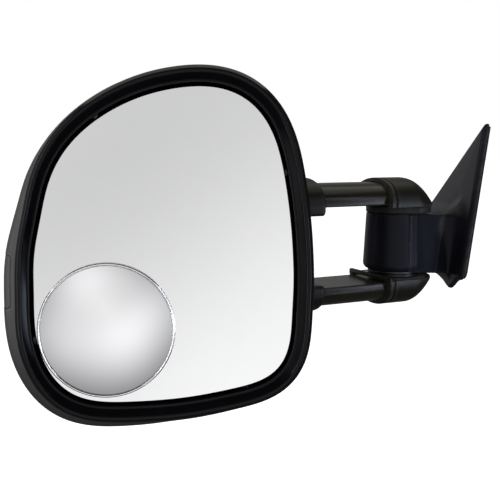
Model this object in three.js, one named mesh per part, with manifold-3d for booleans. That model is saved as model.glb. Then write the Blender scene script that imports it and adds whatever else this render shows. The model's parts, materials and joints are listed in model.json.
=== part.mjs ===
// Towing mirror for the left door of a truck: a triangular door mount with a fold barrel,
// two D-section arms held in elbow covers above and below the barrel, and a head that slides
// along the arms. The head holds an adjustable flat glass with a round convex spot mirror.
//
// Units are millimetres. +X points from the mirror towards the door, +Y is forward along the
// vehicle and +Z is up. The origin is a point on the face that bears on the door.

import * as THREE from 'three';
import { mergeVertices } from 'three/addons/utils/BufferGeometryUtils.js';
import Module from 'manifold-3d';

const wasm = await Module();
wasm.setup();

// ---------------------------------------------------------------- driving dimensions
const DEG = Math.PI / 180;
const SWEEP = 18.4 * DEG;       // arms swept back from square to the door
const TUMBLE = 9 * DEG;         // lean of the door face, top inboard
const GLASS_TILT = 2.4 * DEG;   // lean of the head, top forward
const GAP = 0.3;                // clearance between touching pieces

const PIVOT = [-67.3, -55, -8];             // fold axis at mid barrel, from the origin
const HEAD = [-203, -123.4, 13.1];          // centre of the glass, from the pivot

// arms, in the arm frame: x runs from the head to the pivot, flat faces look at the barrel
const TUBE_A = 25.8;            // half depth of the D section
const TUBE_H = 19;              // height of the D section
const TUBE_Z = 33.1;            // distance of its flat face from mid barrel
const TUBE_WALL = 2.4;
const TUBE_IN = -12.8;          // inboard end of a tube
const TUBE_OUT = -185;          // outboard end of a tube
const COVER_A = 32;             // half depth of an elbow cover
const COVER_H = 24.6;
const COVER_Z = 31;             // its open underside
const COVER_MOUTH = -25.3;
const SLEEVE_A = 32.6;          // socket sleeve of the head
const SLEEVE = { 1: [26.8, 30, 6], '-1': [29.7, 25.6, 4] };   // flat face, height and straight side, upper and lower
const SLEEVE_IN = -89;
const SLEEVE_OUT = -150;

// fold barrel
const BARREL_R_TOP = 24.2, BARREL_R_BOT = 26.6, BARREL_TOP = 25, BARREL_BOT = -25.4;
const SHAFT_R = 8;
const RING_R = 22;              // detent rings
const DISC_R = 24.6;            // wear plate, round about the shaft

// head
const BEZEL_W = 13.7;           // width of the bezel outside the glass edge
const BEZEL_CROWN = 8.5;        // height of its crown in front of the glass
const SHELL_T = 2.6;            // shell wall
const PIVOT_W = 15;             // glass pivot behind the face of the glass
const SPOT = { u: -42, v: -58.3, r: 47.5 };

// distance of the glass edge from the glass centre, every 9 degrees from the inboard side
const GLASS_R = [89.9, 89.8, 91.7, 95.4, 101.2, 108.3, 114.3, 117.0, 115.5, 111.6,
  107.6, 104.2, 101.3, 99.0, 97.1, 95.2, 93.0, 90.6, 88.5, 88.2,
  89.9, 92.5, 96.3, 102.8, 111.7, 118.5, 123.2, 121.2, 116.0, 111.9,
  109.9, 109.8, 111.5, 115.1, 119.4, 118.5, 109.3, 100.9, 95.4, 91.5];

// corners of the sail on the door, as [forward, up, corner radius] from the pivot
const SAIL = [[-22.7, -35.3, 7], [163, -39.3, 12], [-12.6, 103.3, 1.6]];
// pointed tab under the sail's rear corner
const TAB = [[-17, -31], [-7, -40.2], [-1, -44.8], [3, -46], [8, -44.9], [19, -41.6], [32, -39.2], [46, -37.6], [50, -32]];

// ---------------------------------------------------------------- colours
const mat = (color, roughness, metalness = 0) => new THREE.MeshStandardMaterial({ color, roughness, metalness });
const M = {
  black: () => mat(0x17181c, 0.5), gloss: () => mat(0x08090c, 0.15), satin: () => mat(0x1d1b18, 0.45),
  alloy: () => mat(0x9a9c9e, 0.45, 0.9), steel: () => mat(0x8c8f93, 0.35, 1), zinc: () => mat(0xb5b4ac, 0.4, 1),
  brass: () => mat(0xb08d46, 0.35, 1), rubber: () => mat(0x101010, 0.9), nylon: () => mat(0xd8d4c6, 0.6),
  frame: () => mat(0x2a2b2e, 0.7), glass: () => mat(0xdfe3e6, 0.03, 1), foam: () => mat(0x2c2c2e, 0.95),
  bright: () => mat(0xdcdde0, 0.2, 0.4),
};

// ---------------------------------------------------------------- solids
function outward(solidGeometry) {              // turn a skin right side out
  const p = solidGeometry.attributes.position, ix = solidGeometry.index.array;
  let vol = 0;
  const a = new THREE.Vector3(), b = new THREE.Vector3(), c = new THREE.Vector3();
  for (let i = 0; i < ix.length; i += 3) {
    a.fromBufferAttribute(p, ix[i]); b.fromBufferAttribute(p, ix[i + 1]); c.fromBufferAttribute(p, ix[i + 2]);
    vol += a.dot(b.cross(c));
  }
  if (vol < 0) for (let i = 0; i < ix.length; i += 3) { const t = ix[i + 1]; ix[i + 1] = ix[i + 2]; ix[i + 2] = t; }
  return solidGeometry;
}
function body(geometry) {
  const g = geometry.clone();
  g.deleteAttribute('normal');
  g.deleteAttribute('uv');
  const m = outward(mergeVertices(g, 1e-4));
  const index = m.index.array;
  return new wasm.Manifold(new wasm.Mesh({
    numProp: 3, vertProperties: new Float32Array(m.attributes.position.array), triVerts: new Uint32Array(index),
  }));
}
function geometryOf(solid) {
  const mesh = solid.getMesh();
  const g = new THREE.BufferGeometry();
  g.setAttribute('position', new THREE.BufferAttribute(new Float32Array(mesh.vertProperties), 3));
  g.setIndex(new THREE.BufferAttribute(new Uint32Array(mesh.triVerts), 1));
  g.computeVertexNormals();
  return g;
}
const join = (...s) => s.reduce((a, b) => a.add(b));
const cut = (a, ...s) => s.reduce((x, y) => x.subtract(y), a);

const area = (pts) => pts.reduce((s, p, i) => { const q = pts[(i + 1) % pts.length]; return s + p[0] * q[1] - q[0] * p[1]; }, 0) / 2;
// a flat outline in local x, y extruded from z0 to z1
function prism(pts, z0, z1, holes = []) {
  const ring = area(pts) < 0 ? [...pts].reverse() : pts;
  const shape = new THREE.Shape(ring.map((p) => new THREE.Vector2(p[0], p[1])));
  for (const h of holes) shape.holes.push(new THREE.Path((area(h) > 0 ? [...h].reverse() : h).map((p) => new THREE.Vector2(p[0], p[1]))));
  const g = new THREE.ExtrudeGeometry(shape, { depth: z1 - z0, bevelEnabled: false, steps: 1 });
  g.translate(0, 0, z0);
  return g;
}
// the same, with the outline in y, z and the extrusion along x
function prismX(pts, x0, x1, holes = []) {
  const g = prism(pts, x0, x1, holes);
  return g.applyMatrix4(new THREE.Matrix4().set(0, 0, 1, 0, 1, 0, 0, 0, 0, 1, 0, 0, 0, 0, 0, 1));
}
// the outline in x, z and the extrusion along y
function prismY(pts, y0, y1, holes = []) {
  const g = prism(pts, -y1, -y0, holes);
  return g.applyMatrix4(new THREE.Matrix4().set(1, 0, 0, 0, 0, 0, -1, 0, 0, 1, 0, 0, 0, 0, 0, 1));
}
function cyl(r, z0, z1, n = 24, r2 = r) {
  const g = new THREE.CylinderGeometry(r2, r, z1 - z0, n);
  g.rotateX(Math.PI / 2);
  g.translate(0, 0, (z0 + z1) / 2);
  return g;
}
const at = (g, x, y, z) => g.clone().translate(x, y, z);
const alongX = (g) => g.clone().rotateY(Math.PI / 2);   // local z to +x
const alongY = (g) => g.clone().rotateX(-Math.PI / 2);  // local z to +y
function boxAt(x0, x1, y0, y1, z0, z1) {
  return new THREE.BoxGeometry(x1 - x0, y1 - y0, z1 - z0).translate((x0 + x1) / 2, (y0 + y1) / 2, (z0 + z1) / 2);
}
function turned(profile, n = 24) {
  const g = new THREE.LatheGeometry([...profile, profile[0]].map((p) => new THREE.Vector2(p[0], p[1])), n);
  return g.rotateX(Math.PI / 2);   // the profile's second number is z
}
// a closed skin through rings of equal point counts, with flat ends
function loft(rings) {
  const n = rings[0].length, pos = [], idx = [];
  for (const r of rings) for (const p of r) pos.push(...p);
  for (let i = 0; i + 1 < rings.length; i++) for (let j = 0; j < n; j++) {
    const a = i * n + j, b = i * n + (j + 1) % n, c = a + n, d = b + n;
    idx.push(a, b, d, a, d, c);
  }
  for (const [k, flip] of [[0, true], [rings.length - 1, false]]) {
    const m = pos.length / 3, r = rings[k];
    pos.push(...[0, 1, 2].map((q) => r.reduce((s, p) => s + p[q], 0) / n));
    for (let j = 0; j < n; j++) {
      const a = k * n + j, b = k * n + (j + 1) % n;
      if (flip) idx.push(b, a, m); else idx.push(a, b, m);
    }
  }
  const g = new THREE.BufferGeometry();
  g.setAttribute('position', new THREE.BufferAttribute(new Float32Array(pos), 3));
  g.setIndex(idx);
  return g;
}
// a skin through rings that close on themselves both ways
function torusSkin(rings) {
  const m = rings.length, n = rings[0].length, pos = [], idx = [];
  for (const r of rings) for (const p of r) pos.push(...p);
  for (let i = 0; i < m; i++) for (let j = 0; j < n; j++) {
    const a = i * n + j, b = i * n + (j + 1) % n, i2 = (i + 1) % m, c = i2 * n + j, d = i2 * n + (j + 1) % n;
    idx.push(a, b, d, a, d, c);
  }
  const g = new THREE.BufferGeometry();
  g.setAttribute('position', new THREE.BufferAttribute(new Float32Array(pos), 3));
  g.setIndex(idx);
  return g;
}
const skin = (rings) => body(outward(loft(rings)));

// outlines ------------------------------------------------------------------
const roundRect = (w, h, r, n = 4) => {
  const out = [];
  for (const [cx, cy, a0] of [[w / 2 - r, h / 2 - r, 0], [-w / 2 + r, h / 2 - r, 90], [-w / 2 + r, -h / 2 + r, 180], [w / 2 - r, -h / 2 + r, 270]])
    for (let i = 0; i <= n; i++) { const a = (a0 + 90 * i / n) * DEG; out.push([cx + r * Math.cos(a), cy + r * Math.sin(a)]); }
  return out;
};
const circle = (r, n = 20, cx = 0, cy = 0) => Array.from({ length: n }, (_, i) => [cx + r * Math.cos(2 * Math.PI * i / n), cy + r * Math.sin(2 * Math.PI * i / n)]);
// D section with its flat at z = 0: [y, z]
function dee(a, h, n = 14, lip = 0, e = 0.8) {
  const out = [];
  for (let i = 0; i <= n; i++) { const t = Math.PI * i / n; out.push([a * Math.cos(t), lip + (h - lip) * Math.pow(Math.sin(t), e)]); }
  if (lip > 0) { out.unshift([a, 0]); out.push([-a, 0]); }
  return out;
}
// the two corners at the flat side eased by a radius
function eased(pts, r) {
  const a = pts[0][0], c = [[a - r, 0], [a - 0.55 * r, 0.1 * r], [a - 0.1 * r, 0.55 * r], [a, r]];
  return [...c, ...pts.slice(1, -1), ...c.map(([y, z]) => [-y, z]).reverse()];
}
const lift = (pts, z, up = 1) => pts.map((p) => [p[0], up * (p[1] + z)]);
function offset(pts, d) {                       // outward for an anticlockwise outline
  const n = pts.length;
  return pts.map((p, i) => {
    const a = pts[(i + n - 1) % n], b = pts[(i + 1) % n];
    let tx = b[0] - a[0], ty = b[1] - a[1];
    const l = Math.hypot(tx, ty); tx /= l; ty /= l;
    return [p[0] + ty * d, p[1] - tx * d];
  });
}
// a polygon given by its corners and radii, moved inwards by d
function rounded(corners, d = 0, n = 5) {
  const c = corners.map((p) => [p[0], p[1]]), k = c.length;
  const edge = (i) => { const p = c[i], q = c[(i + 1) % k], l = Math.hypot(q[0] - p[0], q[1] - p[1]); const t = [(q[0] - p[0]) / l, (q[1] - p[1]) / l]; return { t, o: [p[0] - t[1] * d, p[1] + t[0] * d] }; };
  const meet = (e, f) => { const det = e.t[0] * -f.t[1] + f.t[0] * e.t[1], dx = f.o[0] - e.o[0], dy = f.o[1] - e.o[1], s = (dx * -f.t[1] + f.t[0] * dy) / det; return [e.o[0] + e.t[0] * s, e.o[1] + e.t[1] * s]; };
  const out = [];
  for (let i = 0; i < k; i++) {
    const e = edge((i + k - 1) % k), f = edge(i), p = meet(e, f), r = Math.max(corners[i][2] - d * 0.6, 1.2);
    const turn = Math.acos(e.t[0] * f.t[0] + e.t[1] * f.t[1]), l = r * Math.tan(turn / 2);
    const c0 = [p[0] - e.t[0] * l - e.t[1] * r, p[1] - e.t[1] * l + e.t[0] * r], a0 = Math.atan2(-e.t[0], e.t[1]);
    for (let j = 0; j <= n; j++) { const a = a0 + turn * j / n; out.push([c0[0] + r * Math.cos(a), c0[1] + r * Math.sin(a)]); }
  }
  return out;
}
const N = 40;                                   // points round the glass
const glassEdge = (() => {
  const c = new THREE.CatmullRomCurve3(GLASS_R.map((r, i) => new THREE.Vector3(r * Math.cos(i * 9 * DEG), r * Math.sin(i * 9 * DEG), 0)), true);
  return c.getSpacedPoints(N).slice(0, N).map((p) => [p.x, p.y]);
})();
const rim = (d) => offset(glassEdge, d);

// ---------------------------------------------------------------- scene graph
const mirror = new THREE.Group();
mirror.name = 'towing_mirror';
const pivotFrame = new THREE.Group(); pivotFrame.position.set(...PIVOT); mirror.add(pivotFrame);
const armFrame = new THREE.Group(); armFrame.rotation.z = SWEEP; pivotFrame.add(armFrame);
const headFrame = new THREE.Group(); headFrame.position.set(...HEAD); headFrame.rotation.x = -GLASS_TILT; pivotFrame.add(headFrame);
const doorFrame = new THREE.Group(); doorFrame.rotation.y = TUMBLE; mirror.add(doorFrame);
mirror.updateMatrixWorld(true);
// geometry made in one frame and used in another
const into = (g, from, to) => g.clone().applyMatrix4(to.matrixWorld.clone().invert().multiply(from.matrixWorld));

function add(frame, name, solid, material) {
  const g = solid.isBufferGeometry ? geometryOf(body(solid)) : geometryOf(solid);
  const m = new THREE.Mesh(g, material);
  m.name = name;
  frame.add(m);
  return m;
}

// ================================================================= door mount
// local x is the door normal, so the base and its cover lie between x = -7.2 and x = 0
const cosT = Math.cos(TUMBLE);
const sailAt = (d) => rounded(SAIL.map(([y, z, r]) => [y - 55, (z - 8) / cosT, r]), d);
const tab = TAB.map(([y, z]) => [y - 55, (z - 8) / cosT]);
const INSERTS = [[-52, -30], [-48, 38], [58, -30]];       // y, z on the door face
const STUDS = [[-54, 62], [76, -34], [-62, -8]];          // snap studs of the cover
const onDoor = (g, y, z) => at(alongX(g), 0, y, z);

// boss: plan outline from the barrel tangents to the sail, top and bottom square to the door
const TAN = [[13.2, -20.8], [13.2, 20.8]];
const bossPlan = (d) => [[TAN[0][0] - 6, TAN[0][1] - 4.6 - d + 0.6], [40, -4.4 - d], [66, 11 - d], [90, 27 - d], [90, 92 + d], [66, 84 + d], [40, 52 + d], [2, 24.6 + d], [2, 0]];
const crest = (x) => 25 - 0.00178 * x * x;
const slab = (d) => prismY([[-40, 25 + d], ...[0, 18, 32, 46, 60, 75, 110].map((x) => [x, crest(x) + d]), [110, -25.4 - 0.13 * 110 - d], [0, -25.4 - d], [-40, -25.4 - d]], -60, 140);
const bossBlock = (d = 0) => body(prism(bossPlan(d), -80, 80)).intersect(body(slab(d)));
const behindDoor = (x1) => body(into(boxAt(-200, x1, -200, 200, -200, 200), doorFrame, pivotFrame));
const toDoor = (solid) => solid.transform([...doorFrame.matrixWorld.clone().invert().multiply(pivotFrame.matrixWorld).elements]);
{
  const plate = body(prismX(sailAt(5.5), -4.8, -1.8));
  const barrel = body(cyl(BARREL_R_BOT, BARREL_BOT, BARREL_TOP, 40, BARREL_R_TOP));
  let base = join(barrel, bossBlock().intersect(behindDoor(-3)));
  // bores for the flanged bushes, and a hollow behind the boss to keep the wall even
  base = cut(base, body(cyl(12.3, -40, 40, 24)), body(cyl(17.3, BARREL_TOP - 2.3, 40, 24)), body(cyl(17.3, -40, BARREL_BOT + 2.3, 24)), body(cyl(23.5, -40, BARREL_BOT, 24)));
  const pocketPlan = [[30, 0], [58, 18], [88, 38], [88, 76], [64, 72], [42, 42], [30, 22]];
  base = join(toDoor(base), plate);
  base = cut(base, body(into(prism(pocketPlan, -18, 10), pivotFrame, doorFrame)));
  for (const [y, z] of INSERTS) base = cut(base, body(onDoor(cyl(5.8, -4.85, 2, 20), y, z)));
  for (const [y, z] of STUDS) base = cut(base, body(onDoor(cyl(2.1, -6, 2, 16), y, z)), body(onDoor(cyl(3.1, -3.1, 2, 16), y, z)));
  add(doorFrame, 'mount_base', base, M.black());
}
{
  // cover with eased edges, closed over the base and held by three barbed studs
  const ring = (x, d) => sailAt(d).map(([y, z]) => [x, y, z]);
  let cover = skin([ring(-1.8, 0), ring(-4.2, 0), ring(-6, 1.3), ring(-7.2, 4)]);
  cover = cut(join(cover, body(prismX(tab, -5.6, -1.8))), body(prismX(sailAt(2.6), -5.1, 0)));
  cover = cut(cover, toDoor(bossBlock(0.5)));
  for (const [y, z] of STUDS) cover = join(cover, body(onDoor(turned([[0, -5.6], [1.8, -5.6], [1.8, -2.8], [2.6, -2.7], [1.9, -1.9], [0, -1.9]], 16), y, z)));
  add(doorFrame, 'sail_cover', cover, M.black());
  let pad = body(prismX(sailAt(1.2), -1.5, 0));
  for (const [y, z] of INSERTS) pad = cut(pad, body(onDoor(cyl(6.2, -4, 2, 20), y, z)));
  add(doorFrame, 'door_gasket', pad, M.rubber());
}
INSERTS.forEach(([y, z], i) => add(doorFrame, `mount_insert_${i + 1}`,
  onDoor(turned([[3.1, -4.5], [5.5, -4.5], [5.5, -0.3], [4.9, -0.3], [4.6, -0.8], [3.1, -0.8]], 14), y, z), M.brass()));

// fold bushes and the fixed half of the detent, held in the barrel
const bush = [[SHAFT_R + 0.35, 0], [16.9, 0], [16.9, 2], [11.9, 2], [11.9, 17], [SHAFT_R + 0.35, 17]];
add(pivotFrame, 'lower_pivot_bush', at(turned(bush, 24), 0, 0, BARREL_BOT), M.nylon());
add(pivotFrame, 'upper_pivot_bush', at(turned(bush.map(([r, z]) => [r, -z]).reverse(), 24), 0, 0, BARREL_TOP), M.nylon());
const notch = (r0, r1, w, z0, z1, k) => boxAt(r0, r1, -w / 2, w / 2, z0, z1).rotateZ(k);
{
  let ring = body(turned([[SHAFT_R + 0.6, -28.1], [RING_R, -28.1], [RING_R, -25.7], [SHAFT_R + 0.6, -25.7]], 24));
  for (let i = 0; i < 6; i++) ring = cut(ring, body(notch(15, 19.5, 4, -29, -27.1, i * 60 * DEG)));
  add(pivotFrame, 'fixed_detent_ring', ring, M.steel());
}

// ================================================================= arm body
{
  let ring = body(turned([[SHAFT_R + 0.3, -30.8], [RING_R, -30.8], [RING_R, -28.5], [SHAFT_R + 0.3, -28.5]], 24));
  for (let i = 0; i < 6; i++) ring = cut(ring, body(notch(15, 19.5, 4, -29.5, -28, i * 60 * DEG)));
  add(armFrame, 'moving_detent_ring', ring, M.steel());
  // wear plate under the upper cover: round at the barrel, then out to the cover's round end
  const plan = [];
  for (let i = 0; i <= 16; i++) { const t = (-90 + 180 * i / 16) * DEG; plan.push([4 + 27.6 * Math.cos(t), 31 * Math.sin(t)]); }
  for (let i = 1; i < 16; i++) { const t = (104.5 + 151 * i / 16) * DEG; plan.push([DISC_R * Math.cos(t), DISC_R * Math.sin(t)]); }
  add(armFrame, 'upper_wear_disc', cut(body(prism(plan, 25.4, 30.8)), body(cyl(SHAFT_R + 0.3, 20, 40, 24))), M.frame());
}
for (const [side, up] of [['upper', 1], ['lower', -1]]) {
  const flat = (g) => body(up > 0 ? g : g.clone().rotateX(Math.PI));      // the lower arm is the upper one turned over
  // D-section tube
  const outer = lift(dee(TUBE_A, TUBE_H, 12), TUBE_Z);
  const bore = lift(dee(TUBE_A - TUBE_WALL - 1, TUBE_H - 2 * TUBE_WALL, 12), TUBE_Z + TUBE_WALL);
  let tube = cut(flat(prismX(outer, TUBE_OUT, TUBE_IN)), flat(prismX(bore, TUBE_OUT - 5, TUBE_IN + 5)));
  for (const y of [-13, 13]) tube = cut(tube, flat(at(cyl(2.5, TUBE_Z - 3, TUBE_Z + 5, 16), -18, y, 0)));
  add(armFrame, `${side}_tube`, tube, M.satin());
  // stop plate on the outboard end, slightly taller than the sleeve's bush
  const stop = join(flat(prismX(lift(dee(TUBE_A + 1.9, TUBE_H + 1.7, 12), TUBE_Z - 0.7), TUBE_OUT - 3.3, TUBE_OUT - GAP)),
    flat(prismX(lift(dee(TUBE_A - TUBE_WALL - 1.5, TUBE_H - 2 * TUBE_WALL - 0.8, 12), TUBE_Z + TUBE_WALL + 0.4), TUBE_OUT - 1, TUBE_OUT + 9)));
  add(armFrame, `${side}_tube_stop`, stop, M.frame());
  // elbow casting: a round end about the shaft and a tongue inside the tube
  const e = (x, q, s = 0) => lift(dee(29.2 * q, 20.9 * q * q, 14, 0, 0.8 + 1.2 * s), COVER_Z + 0.4).map(([y, z]) => [x, y, z]);
  const rings = [e(-12.3, 1), e(3, 1)];
  for (let i = 1; i <= 5; i++) { const t = i / 5.8 * 90 * DEG; rings.push(e(3 + 25.5 * Math.sin(t), Math.cos(t), Math.sin(t))); }
  let elbow = body(outward(loft(rings)));
  elbow = elbow.add(body(prismX(lift(dee(TUBE_A - TUBE_WALL - 1.5, TUBE_H - 2 * TUBE_WALL - 0.8, 12), TUBE_Z + TUBE_WALL + 0.4), -58, -10)));
  elbow = cut(elbow, body(cyl(SHAFT_R + 0.3, 20, 60, 24)), body(cyl(15, 44, 60, 24)));
  for (const y of [-13, 13]) elbow = cut(elbow, body(at(cyl(1.9, TUBE_Z, TUBE_Z + 14, 16), -18, y, 0)));
  if (up < 0) elbow = elbow.rotate([180, 0, 0]);
  add(armFrame, `${side}_elbow`, elbow, M.alloy());
  // elbow cover: thin shell, open underneath and at the tube's mouth, with a double lip
  const lean = (x, w) => x + 0.16 * (w - COVER_Z) * Math.max(0, (4 - x) / 29.3);      // the mouth leans back towards the crown
  const c = (x, a, h, s = 0) => lift(dee(a, h, 14, Math.min(2, 0.6 * h), 0.8 + 1.2 * s), COVER_Z).map(([y, w]) => [lean(x, w), y, w]);
  const out = [c(COVER_MOUTH, COVER_A, COVER_H), c(COVER_MOUTH + 3, COVER_A, COVER_H), c(COVER_MOUTH + 3.3, COVER_A - 0.9, COVER_H - 0.9),
    c(COVER_MOUTH + 5.3, COVER_A - 0.9, COVER_H - 0.9), c(COVER_MOUTH + 5.6, COVER_A, COVER_H), c(4, COVER_A, COVER_H)];
  for (let i = 1; i <= 7; i++) { const t = i / 7.4 * 90 * DEG, q = Math.cos(t); out.push(c(4 + 28.5 * Math.sin(t), COVER_A * q, 0.8 + (COVER_H - 0.8) * q * q, Math.sin(t))); }
  const k = (x, q, s = 0) => lift(dee(29.8 * q, 0.4 + 21.5 * q * q, 14, Math.min(1, 0.3 + q * q), 0.8 + 1.2 * s), COVER_Z).map(([y, w]) => [lean(x, w), y, w]);
  const inn = [k(COVER_MOUTH + 2.2, 1), k(4, 1)];
  for (let i = 1; i <= 6; i++) { const t = i / 6.6 * 90 * DEG; inn.push(k(4 + 26.2 * Math.sin(t), Math.cos(t), Math.sin(t))); }
  let cover = cut(body(outward(loft(out))), body(outward(loft(inn))), body(outward(loft(inn))).translate([0, 0, -3]));
  cover = cut(cover, body(prismX(lift(dee(TUBE_A + 0.4, TUBE_H + 0.4, 12), TUBE_Z), -40, 0)), body(boxAt(-40, 0, -26.2, 26.2, COVER_Z - 2, TUBE_Z + 0.1)));
  // the lower cover's lip also crosses its flat side
  if (up < 0) cover = cover.add(body(prismX(lift(eased([[31.6, 0], [31.6, 1.6], [31.6, 3.6], [-31.6, 3.6], [-31.6, 1.6], [-31.6, 0]], 1.5), COVER_Z - 2.8), COVER_MOUTH, COVER_MOUTH + 2.9))).rotate([180, 0, 0]);
  add(armFrame, `${side}_elbow_cover`, cover, M.satin());
  // screws from the flat side through the tube wall into the tongue
  [-13, 13].forEach((y, i) => {
    const s = at(turned([[0, 0.2], [2.2, 0.2], [2.2, 2.2], [1.6, 2.8], [1.6, 13], [0, 13]], 12), -18, y, TUBE_Z);
    add(armFrame, `${side}_arm_screw_${i + 1}`, flat(s), M.steel());
  });
}
// fold shaft with a head on top, washer, disc springs and lock nut below
{
  const shaft = join(body(cyl(SHAFT_R, -48.6, 48, 24)), body(at(cyl(12.5, 0, 3.6, 6), 0, 0, 44.4)));
  add(armFrame, 'fold_shaft', shaft, M.steel());
  add(armFrame, 'shaft_washer', turned([[SHAFT_R + 0.3, -45.2], [13.5, -45.2], [13.5, -44.3], [SHAFT_R + 0.3, -44.3]], 24), M.zinc());
  add(armFrame, 'shaft_nut', cut(body(cyl(11.5, -49.6, -45.5, 6)), body(cyl(SHAFT_R + 0.2, -60, -40, 24))), M.steel());
}

// ================================================================= head body
// local x is inboard, y is forward (behind the glass) and z is up
const flare = (th) => {                        // how far the shell stands out past the bezel
  const c = Math.cos(th), s = Math.sin(th);
  return 3 + 9 * Math.max(0, -c) ** 0.8 + 6.5 * Math.max(0, -s) ** 1.2 * (1 - 0.35 * Math.max(0, -c));
};
const depthAt = (u) => 98 + 0.333 * u;
function shellRings(d, w0, t1 = 1) {            // d is the inward offset from the outside
  const base = rim(BEZEL_W - 2.4 - d);
  const steps = [[w0, 0, 0], [8, 0.65, 0], [22, 1, 0], [36, 0.9, 0], [48, 0.68, 0]];
  const ring = (w, f, t) => base.map(([u, v]) => {
    const th = Math.atan2(v, u), r = Math.hypot(u, v), g = flare(th) * f;
    const U = u * (1 + g / r), V = v * (1 + g / r);
    return [U, w, V, t];
  });
  const rings = steps.map(([w, f, t]) => ring(w, f, t));
  const last = base.map(([u, v]) => { const th = Math.atan2(v, u), r = Math.hypot(u, v), g = flare(th) * 0.5; return [u * (1 + g / r), v * (1 + g / r)]; });
  for (const t of [0.3, 0.6, 0.8, 0.92, 1.0]) {
    const k = Math.pow(1 - Math.pow(t * t1, 3.6), 1 / 2.2) || 0;
    const kk = t >= 1 ? 0.34 : Math.max(k, 0.34);
    const uc = 34 * t * t, vc = -8 * t * t;
    rings.push(last.map(([u, v]) => {
      const U = uc + (u - uc) * kk, V = vc + (v - vc) * kk;
      const w = 50 + (depthAt(U) - d - 50) * t;
      return [U, w, V];
    }));
  }
  return rings.map((r) => r.map((p) => p.slice(0, 3)));
}
const sleeveOuter = (up, d = 0, x0 = SLEEVE_OUT, x1 = SLEEVE_IN) => {
  const [z, h, lip] = SLEEVE[up];
  return prismX(lift(eased(dee(SLEEVE_A + d, h + 2 * d, 14, lip), 2.4), z - d, up), x0, x1);
};
const SCREW_AT = [3, 13, 23, 33];              // positions round the rim
const rimPoint = (i, d) => rim(d)[i];
const pegs = SCREW_AT.map((i) => rimPoint(i, 6.2));
{
  const whole = skin(shellRings(0, 3.3));
  let shell = cut(whole, skin(shellRings(SHELL_T, -2)));
  // screw pegs, each webbed to the wall
  pegs.forEach(([u, v], i) => {
    const [u2, v2] = rimPoint(SCREW_AT[i], 26), l = Math.hypot(u2 - u, v2 - v), nx = (v2 - v) / l * 4, ny = -(u2 - u) / l * 4;
    const web = body(prismY([[u + nx, v + ny], [u2 + nx, v2 + ny], [u2 - nx, v2 - ny], [u - nx, v - ny]], 3.3, 19.9));
    shell = join(shell, body(at(alongY(cyl(4.4, 3.3, 20, 14)), u, 0, v)), web.intersect(whole)).subtract(body(at(alongY(cyl(1.9, -5, 30, 12)), u, 0, v)));
  });
  for (const up of [1, -1]) shell = cut(shell, body(into(sleeveOuter(up, 0.4, SLEEVE_OUT - 0.4, -40), armFrame, headFrame)));
  // pocket for the blanking plug in the outboard wall
  shell = cut(shell, body(boxAt(-130, -90, 6, 30, -43, -5)));
  add(headFrame, 'head_shell', shell, M.black());
  // plug: the piece of wall that fills the pocket, with a ledge behind it
  let plug = cut(skin(shellRings(0.5, 3.3)), skin(shellRings(SHELL_T, -2))).intersect(body(boxAt(-130, -90, 6.4, 29.6, -42.6, -5.4)));
  plug = plug.add(cut(skin(shellRings(SHELL_T - 0.4, 3.3)), skin(shellRings(SHELL_T + 1.6, -2))).intersect(body(boxAt(-130, -90, 7.5, 28.5, -41.5, -6.5))));
  add(headFrame, 'side_blanking_plug', plug, M.black());
}
{
  // bezel: section in (outward from the glass edge, forward)
  const sec = [[2.2, 1.0], [2.0, -2.6], [3.8, -6.6], [7.2, -BEZEL_CROWN], [10.8, -7.0], [13.2, -3.2], [BEZEL_W, 1.0], [13.4, 3.0], [2.6, 3.0]];
  const rings = sec.map(([d, w]) => rim(d).map(([u, v]) => [u, w, v]));
  let bezel = body(outward(torusSkin(rings)));
  for (const [u, v] of pegs) bezel = cut(bezel, body(at(alongY(cyl(1.4, -2.5, 10, 12)), u, 0, v)));
  add(headFrame, 'bezel', bezel, M.gloss());
  pegs.forEach(([u, v], i) => add(headFrame, `bezel_screw_${i + 1}`,
    at(alongY(turned([[0, -1.8], [1.1, -1.8], [1.1, 20.3], [3.4, 20.3], [3.4, 22.3], [2.6, 22.9], [1, 22.9], [1, 21.6], [0, 21.6]], 10)), u, 0, v), M.zinc()));
}
const SHOE_X = -126;
// socket sleeves, glide bushes, and the frame that ties them together
for (const [side, up] of [['upper', 1], ['lower', -1]]) {
  let sleeve = body(sleeveOuter(up));
  sleeve = cut(sleeve, body(prismX(lift(dee(29.6, 22, 12, 1), TUBE_Z - 1.0, up), SLEEVE_OUT - 5, SLEEVE_IN - 3)));
  sleeve = cut(sleeve, body(prismX(lift(dee(TUBE_A + 0.5, TUBE_H + 0.5, 12), TUBE_Z - 0.3, up), SLEEVE_IN - 8, SLEEVE_IN + 5)));
  const win = body(boxAt(SHOE_X - 8, SHOE_X + 8, -8, 8, -34, -28));
  if (up < 0) sleeve = cut(sleeve, win);
  add(headFrame, `${side}_socket_sleeve`, body(into(geometryOf(sleeve), armFrame, headFrame)), M.satin());
  let gl = cut(body(prismX(lift(dee(29.2, 21.3, 12, 1), TUBE_Z - 0.7, up), SLEEVE_OUT + 1, SLEEVE_IN - 3.4)),
    body(prismX(lift(dee(TUBE_A + 0.4, TUBE_H + 0.35, 12), TUBE_Z - 0.3, up), SLEEVE_OUT - 9, SLEEVE_IN + 5)));
  if (up < 0) gl = cut(gl, win);
  add(headFrame, `${side}_glide_bush`, body(into(geometryOf(gl), armFrame, headFrame)), M.nylon());
}
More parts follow.
